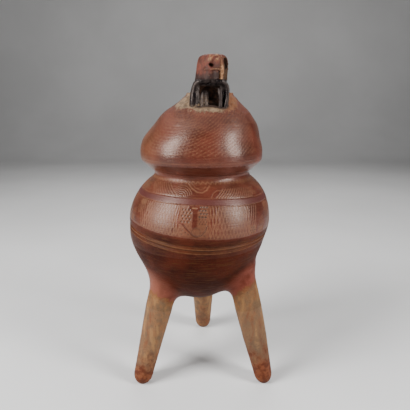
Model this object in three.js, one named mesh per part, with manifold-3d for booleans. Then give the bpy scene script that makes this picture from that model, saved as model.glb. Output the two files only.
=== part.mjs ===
// Tripod vase in red-slipped fired clay: a bowl, a shouldered belly and a domed
// upper chamber, built up from separate rings, on three splayed legs, with a
// squatting bird effigy riding the front of the mouth.
//
// Units are millimetres and +Z is up. The vase stands on the plane z = 0, and
// the effigy's body faces -Y. Every piece was formed by itself and luted to the
// next one, so neighbours keep a thin line of luting between them.

import * as THREE from 'three';
import { LoftGeometry } from 'three/addons/geometries/LoftGeometry.js';
import { mergeVertices } from 'three/addons/utils/BufferGeometryUtils.js';
import Module from 'manifold-3d';

const wasm = await Module();
wasm.setup();

// Driving dimensions of the vessel

const wall = 6;
const luting = 0.3;
const scarf = 2.5;

// The heights of the stages, from the ground up.
const legHeight = 87;
const bowlDepth = 91;
const shoulderHeight = 49;
const skirtHeight = 11;
const edgeHeight = 9;
const domeHeight = 37;
const collarHeight = 21.5;

const bellyRadius = 73.7;
const waistRadius = 48.7;
const crownRadius = 62.2;
const edgeUndercut = 1.8;
const rimRadius = 24.8;
const mouthRadius = 18.4;
const lipRadius = 3;

// The collar goes on from the slope of the dome and turns up to the lip, where
// it still closes in by the neck's flare, a share of the rise. Its bore is
// straight for as far as the throat is deep.
const collarFullness = 0.32;
const neckFlare = 0.5;
const throatDepth = 7;

// How full the curves of the outline are: the length of their Bezier handles as
// a share of the radius and the rise. 0.55 is an ellipse, and less is more
// pointed. The dome would close at domeRise if the mouth weren't open.
const bowlFullness = 0.48;
const shoulderFullness = 0.33;
const domeFullness = 0.35;
const domeRise = 68;

// The waist is a rounded notch between the shoulder and the skirt of the dome.
const notchDepth = 3.2;
const notchSpread = 3.6;
const notchBelow = 6;
const notchAbove = 3.6;

// Two incised grooves run round the belly.
const grooveDrop = 10;
const groovePitch = 4.2;
const grooveWidth = 2.2;
const grooveDepth = 1.1;

// The joints between the rings, each from the nearest stage.
const floorSeamRise = 31;
const wallSeamRise = 55;
const bowlSeamDrop = 22;
const bellySeamRise = 3;
const panelSeamRise = 16;
const bandSeamRise = 28;
const waistSeamDrop = 7;
const notchSeamDrop = 1;
const skirtSeamRise = 5.6;
const crownSeamRise = 3;
const domeSeamRise = 21;

// The hand-built vase isn't quite straight: its axis drifts sideways over the
// feet, to -X at the bowl and to +X at the mouth.
const bowlLean = -6;
const bellyLean = -3.6;
const waistLean = -1.2;
const edgeLean = -1.6;
const domeLean = 3;
const mouthLean = 6.8;
const straightRise = 10;
const domeLeanRise = 31;

// Driving dimensions of the legs

// Where each foot stands, how far its leg leans in, and how thick it is.
const feet = {
  left: { x: -67.5, y: -37, splayDegrees: 15.3, tipRadius: 10.4, shankRadius: 12.4 },
  right: { x: 67.5, y: -36, splayDegrees: 14.4, tipRadius: 9.8, shankRadius: 12.9 },
  back: { x: -0.8, y: 80, splayDegrees: 18, tipRadius: 10.4, shankRadius: 12.8 },
};
const tipRounding = 13;
const footWear = 1.4;
const shankHeight = 52;
const jointDrop = 2;
const jointRadius = 14.4;
const tenonRadius = 6;
const tenonLength = 5;

// The root is a fillet of clay that spreads from the leg out on to the bowl,
// further under the bowl than up its side.
const rootSpreadAbove = 26;
const rootSpreadBelow = 35;
const rootEdge = 1.2;
const rootFullness = 0.42;
const rootFlare = 0.25;

// Driving dimensions of the effigy, in its own frame: the origin is on the dome
// under its chest, +Z is up, and its body faces -Y.

// The origin is set in from the middle of the collar's slope, below the rim, and
// to the side of the mouth's axis.
const effigySetIn = 10.5;
const effigyDrop = 15;
const effigyAside = -0.4;

// Body and head are rounded blocks. Their squareness is the power of the curve
// that rounds them, in plan and in height: 2 is a ball, and more is squarer.
const bodyHalf = new THREE.Vector3(14.6, 8.4, 13.4);
const bodyCentre = new THREE.Vector3(0.8, -1.8, 10.2);
const bodySquareness = { plan: 3.6, above: 9, below: 6 };

const headHalf = new THREE.Vector3(12.7, 12.4, 12);
const headCentre = new THREE.Vector3(2.1, 0.5, 35.2);
const headTurnDegrees = 43;
const headSquareness = { plan: 3.4, above: 4.2, below: 12 };

// The niche in the front of the body, between the arms. The body's clay stays on
// the collar under it, as thick as the niche floor.
const nicheHalf = new THREE.Vector3(9.4, 4.6, 14.5);
const nicheCentre = new THREE.Vector3(-1.2, -10.6, 3);
const nicheSquareness = { plan: 3, above: 3, below: 6 };
const nicheFloor = 1.5;

// An eye is an almond pressed into the corner of the face, slanting down to the
// bill.
const eyeHalf = new THREE.Vector3(2.5, 3, 1.5);
const eyeDepth = 2.2;
const eyeSpreadDegrees = 47;
const eyeSlantDegrees = 24;
const eyeRise = 1.2;

// A limb's route has points of x, y, z and the limb's radius there. The bill
// runs from the brow down to the breast, in the frame of the head.
const bill = {
  brow: [0, -11.4, 6.5, 1.6],
  bridge: [0, -14, 1.5, 2.2],
  hook: [0, -15.2, -4.5, 2],
  tip: [0, -14.8, -10.4, 1.3],
};

// The arms run from under the bill over the shoulders down to the dome, and
// the shins run from the knees down to the dome, inside the arms.
const limbs = {
  left: {
    hand: [-2.4, -11.6, 22.4, 1.9],
    wrist: [-8, -11.6, 22.6, 2],
    shoulder: [-12.6, -9, 20.2, 3],
    elbow: [-15, -8.6, 10, 3.7],
    hip: [-15.8, -9.4, -8, 3.9],
    knee: [-5.2, -6.8, 11.5, 3.2],
    shin: [-5.4, -7.4, 5.5, 4.2],
    ankle: [-5.4, -7.8, -7, 4.4],
  },
  right: {
    hand: [3.4, -11.6, 22.4, 1.9],
    wrist: [9, -11.6, 22.6, 1.9],
    shoulder: [14.8, -9, 19.6, 2.2],
    elbow: [16, -9.2, 10.5, 1.8],
    hip: [13.2, -11.8, -7, 1.8],
    knee: [9.4, -9, 15.2, 1.8],
    shin: [9.9, -10.8, 8, 1.6],
    ankle: [9.6, -12, -7, 1.6],
  },
};

// How finely round forms are cut

const ringSides = 36;
const legSides = 20;
const limbSides = 10;

// Levels above the ground, from the heights of the stages

const floorZ = legHeight;
const bellyZ = floorZ + bowlDepth;
const waistZ = bellyZ + shoulderHeight;
const edgeRadius = crownRadius - edgeUndercut;
const edgeZ = waistZ + skirtHeight;
const crownZ = edgeZ + edgeHeight;
const collarZ = crownZ + domeHeight;
const rimZ = collarZ + collarHeight;

const floorSeamZ = floorZ + floorSeamRise;
const wallSeamZ = floorZ + wallSeamRise;
const bowlSeamZ = bellyZ - bowlSeamDrop;
const bellySeamZ = bellyZ + bellySeamRise;
const panelSeamZ = bellyZ + panelSeamRise;
const bandSeamZ = bellyZ + bandSeamRise;
const waistSeamZ = waistZ - waistSeamDrop;
const notchSeamZ = waistZ - notchSeamDrop;
const skirtSeamZ = waistZ + skirtSeamRise;
const crownSeamZ = crownZ + crownSeamRise;
const domeSeamZ = crownZ + domeSeamRise;

const redSlip = new THREE.MeshStandardMaterial({ color: 0x8a3b25, roughness: 0.38, metalness: 0 });
const buffClay = new THREE.MeshStandardMaterial({ color: 0xa5805f, roughness: 0.75, metalness: 0 });
const blackSlip = new THREE.MeshStandardMaterial({ color: 0x1d1814, roughness: 0.3, metalness: 0 });
const brownSlip = new THREE.MeshStandardMaterial({ color: 0x74402c, roughness: 0.5, metalness: 0 });

// Solids

// A closed geometry as a solid, with its faces turned outwards. Faces that have
// shrunk to a line, as at the pole of a turned form, are left out.
function toSolid(geometry) {
  const bare = new THREE.BufferGeometry();
  bare.setAttribute('position', geometry.attributes.position);
  bare.setIndex(geometry.index);
  const merged = mergeVertices(bare, 1e-4);
  const points = merged.attributes.position;
  const corners = merged.index.array;
  const faces = [];
  let volume = 0;
  const a = new THREE.Vector3();
  const b = new THREE.Vector3();
  const c = new THREE.Vector3();
  for (let i = 0; i < corners.length; i += 3) {
    const [p, q, r] = [corners[i], corners[i + 1], corners[i + 2]];
    if (p === q || q === r || r === p) continue;
    faces.push(p, q, r);
    a.fromBufferAttribute(points, p);
    b.fromBufferAttribute(points, q);
    c.fromBufferAttribute(points, r);
    volume += a.dot(b.cross(c));
  }
  if (volume < 0) faces.reverse();
  return new wasm.Manifold(
    new wasm.Mesh({
      numProp: 3,
      vertProperties: new Float32Array(points.array),
      triVerts: new Uint32Array(faces),
    }),
  );
}

function toGeometry(solid) {
  const mesh = solid.getMesh();
  const geometry = new THREE.BufferGeometry();
  geometry.setAttribute('position', new THREE.BufferAttribute(new Float32Array(mesh.vertProperties), 3));
  geometry.setIndex(new THREE.BufferAttribute(new Uint32Array(mesh.triVerts), 1));
  geometry.computeVertexNormals();
  return geometry;
}

function largestOf(solid) {
  return solid.decompose().sort((a, b) => b.volume() - a.volume())[0];
}

function cutBy(solid, cutters) {
  return cutters.reduce((rest, cutter) => rest.subtract(cutter), solid);
}

// A profile of (radius, height) points turned about the Z axis.
function turned(profile, sides) {
  return new THREE.LatheGeometry(profile, sides).rotateX(Math.PI / 2);
}

function warped(geometry, move) {
  const points = geometry.attributes.position;
  const p = new THREE.Vector3();
  for (let i = 0; i < points.count; i += 1) {
    p.fromBufferAttribute(points, i);
    move(p);
    points.setXYZ(i, p.x, p.y, p.z);
  }
  return geometry;
}

// How far the vessel's axis has drifted sideways at a height above the ground.
function leanAt(z) {
  const stations = [
    [bowlSeamZ, bowlLean],
    [bellyZ, bellyLean],
    [waistZ, waistLean],
    [crownZ, edgeLean],
    [crownZ + straightRise, edgeLean],
    [crownZ + domeLeanRise, domeLean],
    [rimZ - lipRadius, mouthLean],
  ];
  let lean = bowlLean;
  for (let i = 1; i < stations.length; i += 1) {
    const [low, before] = stations[i - 1];
    const [high, after] = stations[i];
    lean += (after - before) * THREE.MathUtils.smoothstep(z, low, high);
  }
  return lean;
}

function leaned(geometry) {
  return warped(geometry, (p) => {
    p.x += leanAt(p.z);
  });
}

// The outline of the vessel, as (radius, height) points

// Points of one curve without its first, which the curve before it ends on.
function along(curve, steps) {
  return curve.getPoints(steps).slice(1);
}

function bowlCurve() {
  return new THREE.CubicBezierCurve(
    new THREE.Vector2(0, floorZ),
    new THREE.Vector2(bellyRadius * bowlFullness, floorZ),
    new THREE.Vector2(bellyRadius, bellyZ - bowlDepth * bowlFullness),
    new THREE.Vector2(bellyRadius, bellyZ),
  );
}

function shoulderCurve(end, direction) {
  const handle = shoulderHeight * shoulderFullness;
  return new THREE.CubicBezierCurve(
    new THREE.Vector2(bellyRadius, bellyZ),
    new THREE.Vector2(bellyRadius, bellyZ + handle),
    end.clone().addScaledVector(direction, -handle),
    end,
  );
}

function domeCurve() {
  return new THREE.CubicBezierCurve(
    new THREE.Vector2(crownRadius, crownZ),
    new THREE.Vector2(crownRadius, crownZ + domeRise * domeFullness),
    new THREE.Vector2(crownRadius * domeFullness, crownZ + domeRise),
    new THREE.Vector2(0, crownZ + domeRise),
  );
}

// From the middle of the floor, over the belly and the waist, to the top that
// the dome would have.
function wallLine() {
  const notch = new THREE.Vector2(waistRadius - notchDepth, waistZ - 1);
  const below = new THREE.Vector2(waistRadius + notchSpread, waistZ - notchBelow);
  const above = new THREE.Vector2(waistRadius + notchSpread, waistZ + notchAbove);
  const intoNotch = notch.clone().sub(below).normalize();
  const edge = new THREE.Vector2(edgeRadius, edgeZ);
  const corner = new THREE.Vector2(crownRadius, edgeZ + 1.5);
  const crown = new THREE.Vector2(crownRadius, crownZ);
  return [
    new THREE.Vector2(0, floorZ),
    ...along(bowlCurve(), 11),
    ...along(shoulderCurve(below, intoNotch), 8),
    ...along(new THREE.QuadraticBezierCurve(below, notch, above), 4),
    edge,
    ...along(new THREE.QuadraticBezierCurve(edge, corner, crown), 3),
    ...along(domeCurve(), 12),
  ];
}

// The line moved by a distance along its normals, inwards if it is positive.
// Points that would turn back down are left out.
function offsetLine(line, distance) {
  const moved = [];
  line.forEach((p, i) => {
    const before = line[Math.max(i - 1, 0)];
    const after = line[Math.min(i + 1, line.length - 1)];
    const run = after.clone().sub(before).normalize();
    const q = new THREE.Vector2(p.x - run.y * distance, p.y + run.x * distance);
    if (i === 0) q.x = 0;
    const last = moved[moved.length - 1];
    if (!last || q.y > last.y + 1e-3) moved.push(q);
  });
  return moved;
}

function radiusAt(line, z) {
  for (let i = 1; i < line.length; i += 1) {
    if (line[i].y >= z) {
      const share = (z - line[i - 1].y) / (line[i].y - line[i - 1].y);
      return THREE.MathUtils.lerp(line[i - 1].x, line[i].x, share);
    }
  }
  return line[line.length - 1].x;
}

function pointAt(line, z) {
  return new THREE.Vector2(radiusAt(line, z), z);
}

// The part of a line between two heights, ending exactly on them.
function between(line, low, high) {
  const inside = line.filter((p) => p.y > low + 0.2 && p.y < high - 0.2);
  return [pointAt(line, low), ...inside, pointAt(line, high)];
}

const outerLine = wallLine();
const innerLine = offsetLine(outerLine.filter((p, i) => i % 2 === 0), wall);

// The height on the inside of the joint whose outer height is z. A joint runs
// square through the wall, bevelled down inwards so that the rings overlap.
function insideOf(z) {
  const slope = (radiusAt(outerLine, z + 1) - radiusAt(outerLine, z - 1)) / 2;
  return z + (wall * slope) / Math.hypot(1, slope) - scarf;
}

function withGroove(points, z) {
  const half = grooveWidth / 2;
  const floor = radiusAt(outerLine, z) - grooveDepth;
  const clear = points.filter((p) => Math.abs(p.y - z) > half + 0.4);
  const cut = [
    pointAt(outerLine, z - half),
    new THREE.Vector2(floor, z - half / 3),
    new THREE.Vector2(floor, z + half / 3),
    pointAt(outerLine, z + half),
  ];
  return [...clear, ...cut].sort((a, b) => a.y - b.y);
}

// The pieces of the vessel

function baseBowl() {
  const seat = insideOf(floorSeamZ) - luting;
  const outer = outerLine.filter((p) => p.y < floorSeamZ - 0.5);
  const inner = innerLine.filter((p) => p.y < seat - 0.2);
  const edge = [pointAt(outerLine, floorSeamZ - luting), pointAt(innerLine, seat)];
  return turned([...outer, ...edge, ...inner.reverse()], ringSides);
}

// A ring of the wall between two joints.
function wallRing(low, high, grooves = []) {
  const plain = between(outerLine, low, high - luting);
  const outer = grooves.reduce(withGroove, plain);
  const inner = between(innerLine, insideOf(low), insideOf(high) - luting);
  return turned([...outer, ...inner.reverse(), outer[0]], ringSides);
}

// The dome stops under the collar, at a joint without a bevel.
function domeTop() {
  const outer = between(outerLine, domeSeamZ, collarZ - luting);
  const inner = between(innerLine, insideOf(domeSeamZ), insideOf(collarZ) + scarf - luting);
  return turned([...outer, ...inner.reverse(), outer[0]], ringSides);
}

// From the top of the dome to the foot of the lip.
function collarCurve(swell) {
  const foot = new THREE.Vector2(radiusAt(outerLine, collarZ) + swell, collarZ);
  const neck = new THREE.Vector2(rimRadius + swell, rimZ - lipRadius);
  const handle = foot.distanceTo(neck) * collarFullness;
  const onDome = pointAt(outerLine, collarZ).sub(pointAt(outerLine, collarZ - 1));
  const intoLip = new THREE.Vector2(-neckFlare, 1);
  return new THREE.CubicBezierCurve(
    foot,
    foot.clone().add(onDome.setLength(handle)),
    neck.clone().sub(intoLip.setLength(handle)),
    neck,
  );
}

// The mouth is a low sloping collar with a rounded lip and a straight throat.
// Swollen by an amount, it cuts what is pressed on to it.
function mouthCollar(swell = 0) {
  const slope = collarCurve(swell);
  const foot = slope.getPoint(0);
  const round = lipRadius * 0.3;
  const bore = mouthRadius - swell;
  const underside = insideOf(collarZ) + scarf;
  const profile = [
    foot,
    ...along(slope, 6),
    new THREE.Vector2(rimRadius + swell - round, rimZ + swell - round),
    new THREE.Vector2(rimRadius - lipRadius, rimZ + swell),
    new THREE.Vector2(bore + round, rimZ + swell - round),
    new THREE.Vector2(bore, rimZ - lipRadius),
    new THREE.Vector2(bore, rimZ - throatDepth),
    pointAt(innerLine, underside),
    foot,
  ];
  return turned(profile, ringSides);
}

// The vessel filled up to the foot of the collar and swollen by one line of
// luting, to cut what is pressed on to it.
function filledVessel() {
  const swollen = offsetLine(outerLine, -luting);
  const line = swollen.filter((p) => p.y < collarZ - 0.2);
  const top = pointAt(swollen, collarZ);
  return toSolid(leaned(turned([...line, top, new THREE.Vector2(0, collarZ)], ringSides)));
}

// A ring of the vessel as a mesh that is placed where its joint is.
function seatedMesh(name, geometry, material, seatZ) {
  leaned(geometry);
  geometry.translate(-leanAt(seatZ), 0, -seatZ);
  const mesh = new THREE.Mesh(geometry, material);
  mesh.name = name;
  mesh.position.set(leanAt(seatZ), 0, seatZ);
  return mesh;
}

// The legs

// A leg's frame has its origin on the ground under the tip, and +X points away
// from the vase. The leg leans in, towards -X.
function legFrame(foot) {
  const group = new THREE.Group();
  group.position.set(foot.x, foot.y, 0);
  group.rotation.z = Math.atan2(foot.y, foot.x);
  group.updateMatrix();
  return group;
}

function splayOf(foot) {
  return THREE.MathUtils.degToRad(foot.splayDegrees);
}

// The distance up the leaning leg to a height above the ground.
function upLeg(foot, height) {
  return (height + footWear) / Math.cos(splayOf(foot));
}

function jointOf(foot) {
  return upLeg(foot, legHeight - jointDrop);
}

function legProfile(foot) {
  const tip = new THREE.CubicBezierCurve(
    new THREE.Vector2(0, 0),
    new THREE.Vector2(foot.tipRadius * 0.5, 0),
    new THREE.Vector2(foot.tipRadius * 0.86, tipRounding * 0.3),
    new THREE.Vector2(foot.tipRadius, tipRounding),
  );
  const shank = new THREE.SplineCurve([
    new THREE.Vector2(foot.tipRadius, tipRounding),
    new THREE.Vector2(foot.shankRadius, upLeg(foot, shankHeight)),
    new THREE.Vector2(jointRadius, jointOf(foot)),
  ]);
  const tenonTop = jointOf(foot) + tenonLength;
  return [
    ...tip.getPoints(5),
    ...along(shank, 6),
    new THREE.Vector2(tenonRadius, jointOf(foot)),
    new THREE.Vector2(tenonRadius, tenonTop),
    new THREE.Vector2(0, tenonTop),
  ];
}

// The leg stands on a small face that use has worn flat.
function legGeometry(foot) {
  const leg = turned(legProfile(foot), legSides);
  leg.rotateY(-splayOf(foot));
  leg.translate(0, 0, -footWear);
  const size = foot.tipRadius * 4;
  const ground = new THREE.BoxGeometry(size, size, size).translate(0, 0, -size / 2);
  return toGeometry(toSolid(leg).subtract(toSolid(ground)));
}

// How far a point is outside the bowl, level with the point.
function outsideBowl(p) {
  const radius = p.z > floorZ ? radiusAt(outerLine, p.z) : p.z - floorZ;
  return Math.hypot(p.x - leanAt(p.z), p.y) - radius;
}

// Where the way from a point inside the bowl towards another leaves the bowl.
function onBowl(inside, towards) {
  const low = inside.clone();
  const high = towards.clone().sub(inside).setLength(bellyRadius * 3).add(inside);
  const half = new THREE.Vector3();
  for (let i = 0; i < 40; i += 1) {
    half.addVectors(low, high).multiplyScalar(0.5);
    if (outsideBowl(half) > 0) high.copy(half);
    else low.copy(half);
  }
  return half;
}

// The way straight out of the bowl at a point on it.
function bowlNormal(point) {
  const step = 0.5;
  const at = point.clone();
  at.z = Math.max(at.z, floorZ + step * 2);
  const [dx, dy, dz] = ['x', 'y', 'z'].map((axis) => {
    const ahead = at.clone();
    const behind = at.clone();
    ahead[axis] += step;
    behind[axis] -= step;
    return outsideBowl(ahead) - outsideBowl(behind);
  });
  return new THREE.Vector3(dx, dy, dz).normalize();
}

// One line of the fillet, from the rim of the leg on to the bowl and into it.
function filletLine(onLeg, up, landing, spread) {
  const out = bowlNormal(landing);
  const onEdge = landing.clone().addScaledVector(out, rootEdge);
  const length = onLeg.distanceTo(onEdge);
  const arrival = spread.clone().projectOnPlane(out).normalize();
  const curve = new THREE.CubicBezierCurve3(
    onLeg,
    onLeg.clone().addScaledVector(up, length * rootFlare),
    onEdge.clone().addScaledVector(arrival, -length * rootFullness),
    onEdge,
  );
  return [...curve.getPoints(5), landing.clone().addScaledVector(out, -wall)];
}

// The fillet is lofted from the circle where the leg ends to a ring round the
// point where the leg's axis meets the bowl. Then the bowl and the tenon cut it.
function rootSolid(foot, frame, joint, vessel) {
  const up = new THREE.Vector3(-Math.sin(splayOf(foot)), 0, Math.cos(splayOf(foot)));
  up.transformDirection(frame.matrix);
  const side = new THREE.Vector3(0, 1, 0).transformDirection(frame.matrix);
  const outward = new THREE.Vector3().crossVectors(side, up);
  const start = joint.clone().applyMatrix4(frame.matrix);
  const heart = new THREE.Vector3(leanAt(bowlSeamZ), 0, bowlSeamZ);
  const level = new THREE.Vector3().subVectors(heart, start).dot(up);
  const middle = onBowl(start.clone().addScaledVector(up, level), start);
  const normal = bowlNormal(middle);
  const lines = [];
  for (let i = 0; i < legSides; i += 1) {
    const angle = (i / legSides) * 2 * Math.PI;
    const aside = outward.clone().multiplyScalar(Math.cos(angle)).addScaledVector(side, Math.sin(angle));
    const spread = aside.clone().projectOnPlane(normal).normalize();
    const reach = THREE.MathUtils.lerp(rootSpreadBelow, rootSpreadAbove, (1 + Math.cos(angle)) / 2);
    const landing = onBowl(heart, middle.clone().addScaledVector(spread, reach));
    lines.push(filletLine(start.clone().addScaledVector(aside, jointRadius), up, landing, spread));
  }
  const sections = lines[0].map((_, row) => lines.map((line) => line[row]));
  const fillet = new LoftGeometry(sections, { capStart: true, capEnd: true });
  const socket = new THREE.CylinderGeometry(
    tenonRadius + luting,
    tenonRadius + luting,
    (tenonLength + luting) * 2,
    legSides,
  );
  socket.rotateX(Math.PI / 2).rotateY(-splayOf(foot)).translate(joint.x, joint.y, joint.z);
  socket.applyMatrix4(frame.matrix);
  return largestOf(cutBy(toSolid(fillet), [vessel, toSolid(socket)]));
}

function legGroup(side, vessel) {
  const foot = feet[side];
  const frame = legFrame(foot);
  const leg = new THREE.Mesh(legGeometry(foot), buffClay);
  leg.name = `leg_${side}`;

  const length = jointOf(foot) + luting;
  const joint = new THREE.Vector3(
    -Math.sin(splayOf(foot)) * length,
    0,
    Math.cos(splayOf(foot)) * length - footWear,
  );
  const clay = toGeometry(rootSolid(foot, frame, joint, vessel));
  clay.applyMatrix4(frame.matrix.clone().invert()).translate(-joint.x, -joint.y, -joint.z);
  const root = new THREE.Mesh(clay, redSlip);
  root.name = `leg_root_${side}`;
  root.position.copy(joint);
  frame.add(leg, root);
  return frame;
}

// The effigy

const forward = new THREE.Vector3(0, -1, 0);
const sideways = new THREE.Vector3(1, 0, 0);

function grownBy(half, grown) {
  return half.clone().addScalar(grown);
}

// A ball squared off towards a box.
function squaredBall(half, squareness, sides) {
  const ball = new THREE.SphereGeometry(1, sides, Math.round(sides * 0.6)).rotateX(Math.PI / 2);
  return warped(ball, (p) => {
    const { plan, above, below } = squareness;
    const power = p.z > 0 ? above : below;
    const flat = (Math.abs(p.x) ** plan + Math.abs(p.y) ** plan) ** (1 / plan);
    const size = (flat ** power + Math.abs(p.z) ** power) ** (1 / power);
    p.divideScalar(size).multiply(half);
  });
}

// A coil of clay along a route, with rounded ends. No part of the route runs
// along the vector that lies across it.
function coil(route, across, steps, grown = 0) {
  const middle = new THREE.CatmullRomCurve3(route.map(([x, y, z]) => new THREE.Vector3(x, y, z)));
  const girth = new THREE.SplineCurve(route.map((p, i) => new THREE.Vector2(i, p[3])));
  const length = middle.getLength();
  const endShares = [route[0][3] / length, route[route.length - 1][3] / length];
  const rings = [
    [0, 0.2],
    [endShares[0] * 0.3, 0.7],
  ];
  for (let i = 0; i <= steps; i += 1) {
    rings.push([THREE.MathUtils.lerp(endShares[0], 1 - endShares[1], i / steps), 1]);
  }
  rings.push([1 - endShares[1] * 0.3, 0.7], [1, 0.2]);
  const sections = rings.map(([share, round]) => {
    const centre = middle.getPoint(share);
    const radius = girth.getPoint(share).y * round + grown;
    const tangent = middle.getTangent(share);
    const side = new THREE.Vector3().crossVectors(tangent, across).normalize();
    const front = new THREE.Vector3().crossVectors(tangent, side);
    const section = [];
    for (let j = 0; j < limbSides; j += 1) {
      const angle = (j / limbSides) * 2 * Math.PI;
      const p = centre.clone().addScaledVector(side, Math.cos(angle) * radius);
      section.push(p.addScaledVector(front, Math.sin(angle) * radius));
    }
    return section;
  });
  return new LoftGeometry(sections, { capStart: true, capEnd: true });
}

function armSolid(side) {
  const { hand, wrist, shoulder, elbow, hip } = limbs[side];
  return toSolid(coil([hand, wrist, shoulder, elbow, hip], forward, 14));
}

function shinSolid(side, grown = 0) {
  const { knee, shin, ankle } = limbs[side];
  return toSolid(coil([knee, shin, ankle], forward, 7, grown));
}

function bodySolid(seat, grown = 0) {
  const body = squaredBall(grownBy(bodyHalf, grown), bodySquareness, 20);
  const niche = squaredBall(grownBy(nicheHalf, -grown), nicheSquareness, 14);
  body.translate(bodyCentre.x, bodyCentre.y, bodyCentre.z);
  niche.translate(nicheCentre.x, nicheCentre.y, nicheCentre.z);
  const floor = seat.translate([0, 0, nicheFloor + grown]);
  return toSolid(body).subtract(toSolid(niche).subtract(floor));
}

// Turns a geometry made in the frame of the head into the frame of the effigy.
function onNeck(geometry) {
  geometry.rotateZ(THREE.MathUtils.degToRad(headTurnDegrees));
  return geometry.translate(headCentre.x, headCentre.y, headCentre.z);
}

function headSolid(grown = 0) {
  return toSolid(onNeck(squaredBall(grownBy(headHalf, grown), headSquareness, 20)));
}

// How far the side of the head is from its axis in a direction.
function headReach(bearing) {
  const { plan } = headSquareness;
  const x = Math.abs(Math.sin(bearing)) / headHalf.x;
  const y = Math.abs(Math.cos(bearing)) / headHalf.y;
  return 1 / (x ** plan + y ** plan) ** (1 / plan);
}

function eyePunch(side) {
  const bearing = THREE.MathUtils.degToRad(eyeSpreadDegrees) * side;
  const punch = new THREE.SphereGeometry(1, 12, 8).scale(eyeHalf.x, eyeHalf.y, eyeHalf.z);
  punch.rotateY(-THREE.MathUtils.degToRad(eyeSlantDegrees) * side);
  punch.translate(0, eyeDepth - eyeHalf.y - headReach(bearing), eyeRise);
  return toSolid(onNeck(punch.rotateZ(bearing)));
}

function billSolid(grown = 0) {
  const { brow, bridge, hook, tip } = bill;
  return toSolid(onNeck(coil([brow, bridge, hook, tip], sideways, 7, grown)));
}

function effigyMesh(name, solid, material) {
  const mesh = new THREE.Mesh(toGeometry(largestOf(solid)), material);
  mesh.name = name;
  return mesh;
}

// Each piece of the effigy is pressed on to the ones before it, so those cut it,
// swollen by one line of luting.
function effigyGroup(vessel) {
  const group = new THREE.Group();
  const slopeRadius = (radiusAt(outerLine, collarZ) + rimRadius) / 2;
  const forwards = slopeRadius - effigySetIn;
  group.position.set(mouthLean + effigyAside, -forwards, rimZ - effigyDrop);
  const collar = toSolid(leaned(mouthCollar(luting)));
  const seat = vessel.add(collar).translate(group.position.clone().negate().toArray());

  const head = cutBy(headSolid(), [eyePunch(-1), eyePunch(1)]);
  const body = cutBy(bodySolid(seat), [headSolid(luting), seat]);
  const beak = cutBy(billSolid(), [headSolid(luting), bodySolid(seat, luting)]);
  group.add(effigyMesh('effigy_head', head, brownSlip));
  group.add(effigyMesh('effigy_body', body, blackSlip));
  group.add(effigyMesh('effigy_bill', beak, brownSlip));

  const masses = [seat, headSolid(luting), bodySolid(seat, luting), billSolid(luting)];
  ['left', 'right'].forEach((side) => {
    const shin = cutBy(shinSolid(side), masses);
    const arm = cutBy(armSolid(side), [...masses, shinSolid(side, luting)]);
    group.add(effigyMesh(`effigy_shin_${side}`, shin, blackSlip));
    group.add(effigyMesh(`effigy_arm_${side}`, arm, blackSlip));
  });
  return group;
}

// The whole vase

function vase() {
  const pot = new THREE.Group();
  const grooves = [bellyZ - grooveDrop, bellyZ - grooveDrop - groovePitch];
  pot.add(
    seatedMesh('base_bowl', baseBowl(), redSlip, floorZ),
    seatedMesh('bowl_wall', wallRing(floorSeamZ, wallSeamZ), redSlip, floorSeamZ),
    seatedMesh('upper_bowl', wallRing(wallSeamZ, bowlSeamZ), redSlip, wallSeamZ),
    seatedMesh('belly_wall', wallRing(bowlSeamZ, bellySeamZ, grooves), redSlip, bowlSeamZ),
    seatedMesh('upper_belly', wallRing(bellySeamZ, panelSeamZ), redSlip, bellySeamZ),
    seatedMesh('belly_shoulder', wallRing(panelSeamZ, bandSeamZ), redSlip, panelSeamZ),
    seatedMesh('shoulder_band', wallRing(bandSeamZ, waistSeamZ), redSlip, bandSeamZ),
    seatedMesh('waist_ring', wallRing(waistSeamZ, notchSeamZ), redSlip, waistSeamZ),
    seatedMesh('upper_waist', wallRing(notchSeamZ, skirtSeamZ), redSlip, notchSeamZ),
    seatedMesh('dome_skirt', wallRing(skirtSeamZ, crownSeamZ), redSlip, skirtSeamZ),
    seatedMesh('dome_crown', wallRing(crownSeamZ, domeSeamZ), redSlip, crownSeamZ),
    seatedMesh('dome_top', domeTop(), redSlip, domeSeamZ),
    seatedMesh('mouth_collar', mouthCollar(), buffClay, collarZ),
  );
  const vessel = filledVessel();
  Object.keys(feet).forEach((side) => {
    pot.add(legGroup(side, vessel));
  });
  pot.add(effigyGroup(vessel));
  return pot;
}

// The origin is on the ground, under the middle of the vase's box.
function standing(pot) {
  const model = new THREE.Group();
  model.add(pot);
  model.updateMatrixWorld(true);
  const box = new THREE.Box3().setFromObject(pot, true);
  const middle = box.getCenter(new THREE.Vector3());
  pot.position.set(-middle.x, -middle.y, -box.min.z);
  return model;
}

export default standing(vase());
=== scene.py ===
"""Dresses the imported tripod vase: carved red slip over buff clay, three bare
legs and a small worn effigy against the mouth.

Lengths are in millimetres until a mesh is made. The vessel's axis stands at
the origin of the vase's own frame, its front looks along -Y, and angles round
the axis are in degrees from the front towards +X.
"""

import math

import bmesh
import bpy
import numpy as np
from mathutils import Euler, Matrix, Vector


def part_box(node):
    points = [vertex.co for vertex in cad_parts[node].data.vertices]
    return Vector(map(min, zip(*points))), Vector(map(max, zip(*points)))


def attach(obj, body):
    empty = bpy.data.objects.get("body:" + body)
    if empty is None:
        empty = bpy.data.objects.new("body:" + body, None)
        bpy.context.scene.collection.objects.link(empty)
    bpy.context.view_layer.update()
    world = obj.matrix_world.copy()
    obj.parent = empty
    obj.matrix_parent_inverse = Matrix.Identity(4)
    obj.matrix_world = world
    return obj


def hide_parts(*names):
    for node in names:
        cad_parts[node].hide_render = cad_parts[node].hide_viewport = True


MM = 0.001
BODY = "root"
FAR = 1e3

# The vessel's outline, as part.mjs has it

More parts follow.
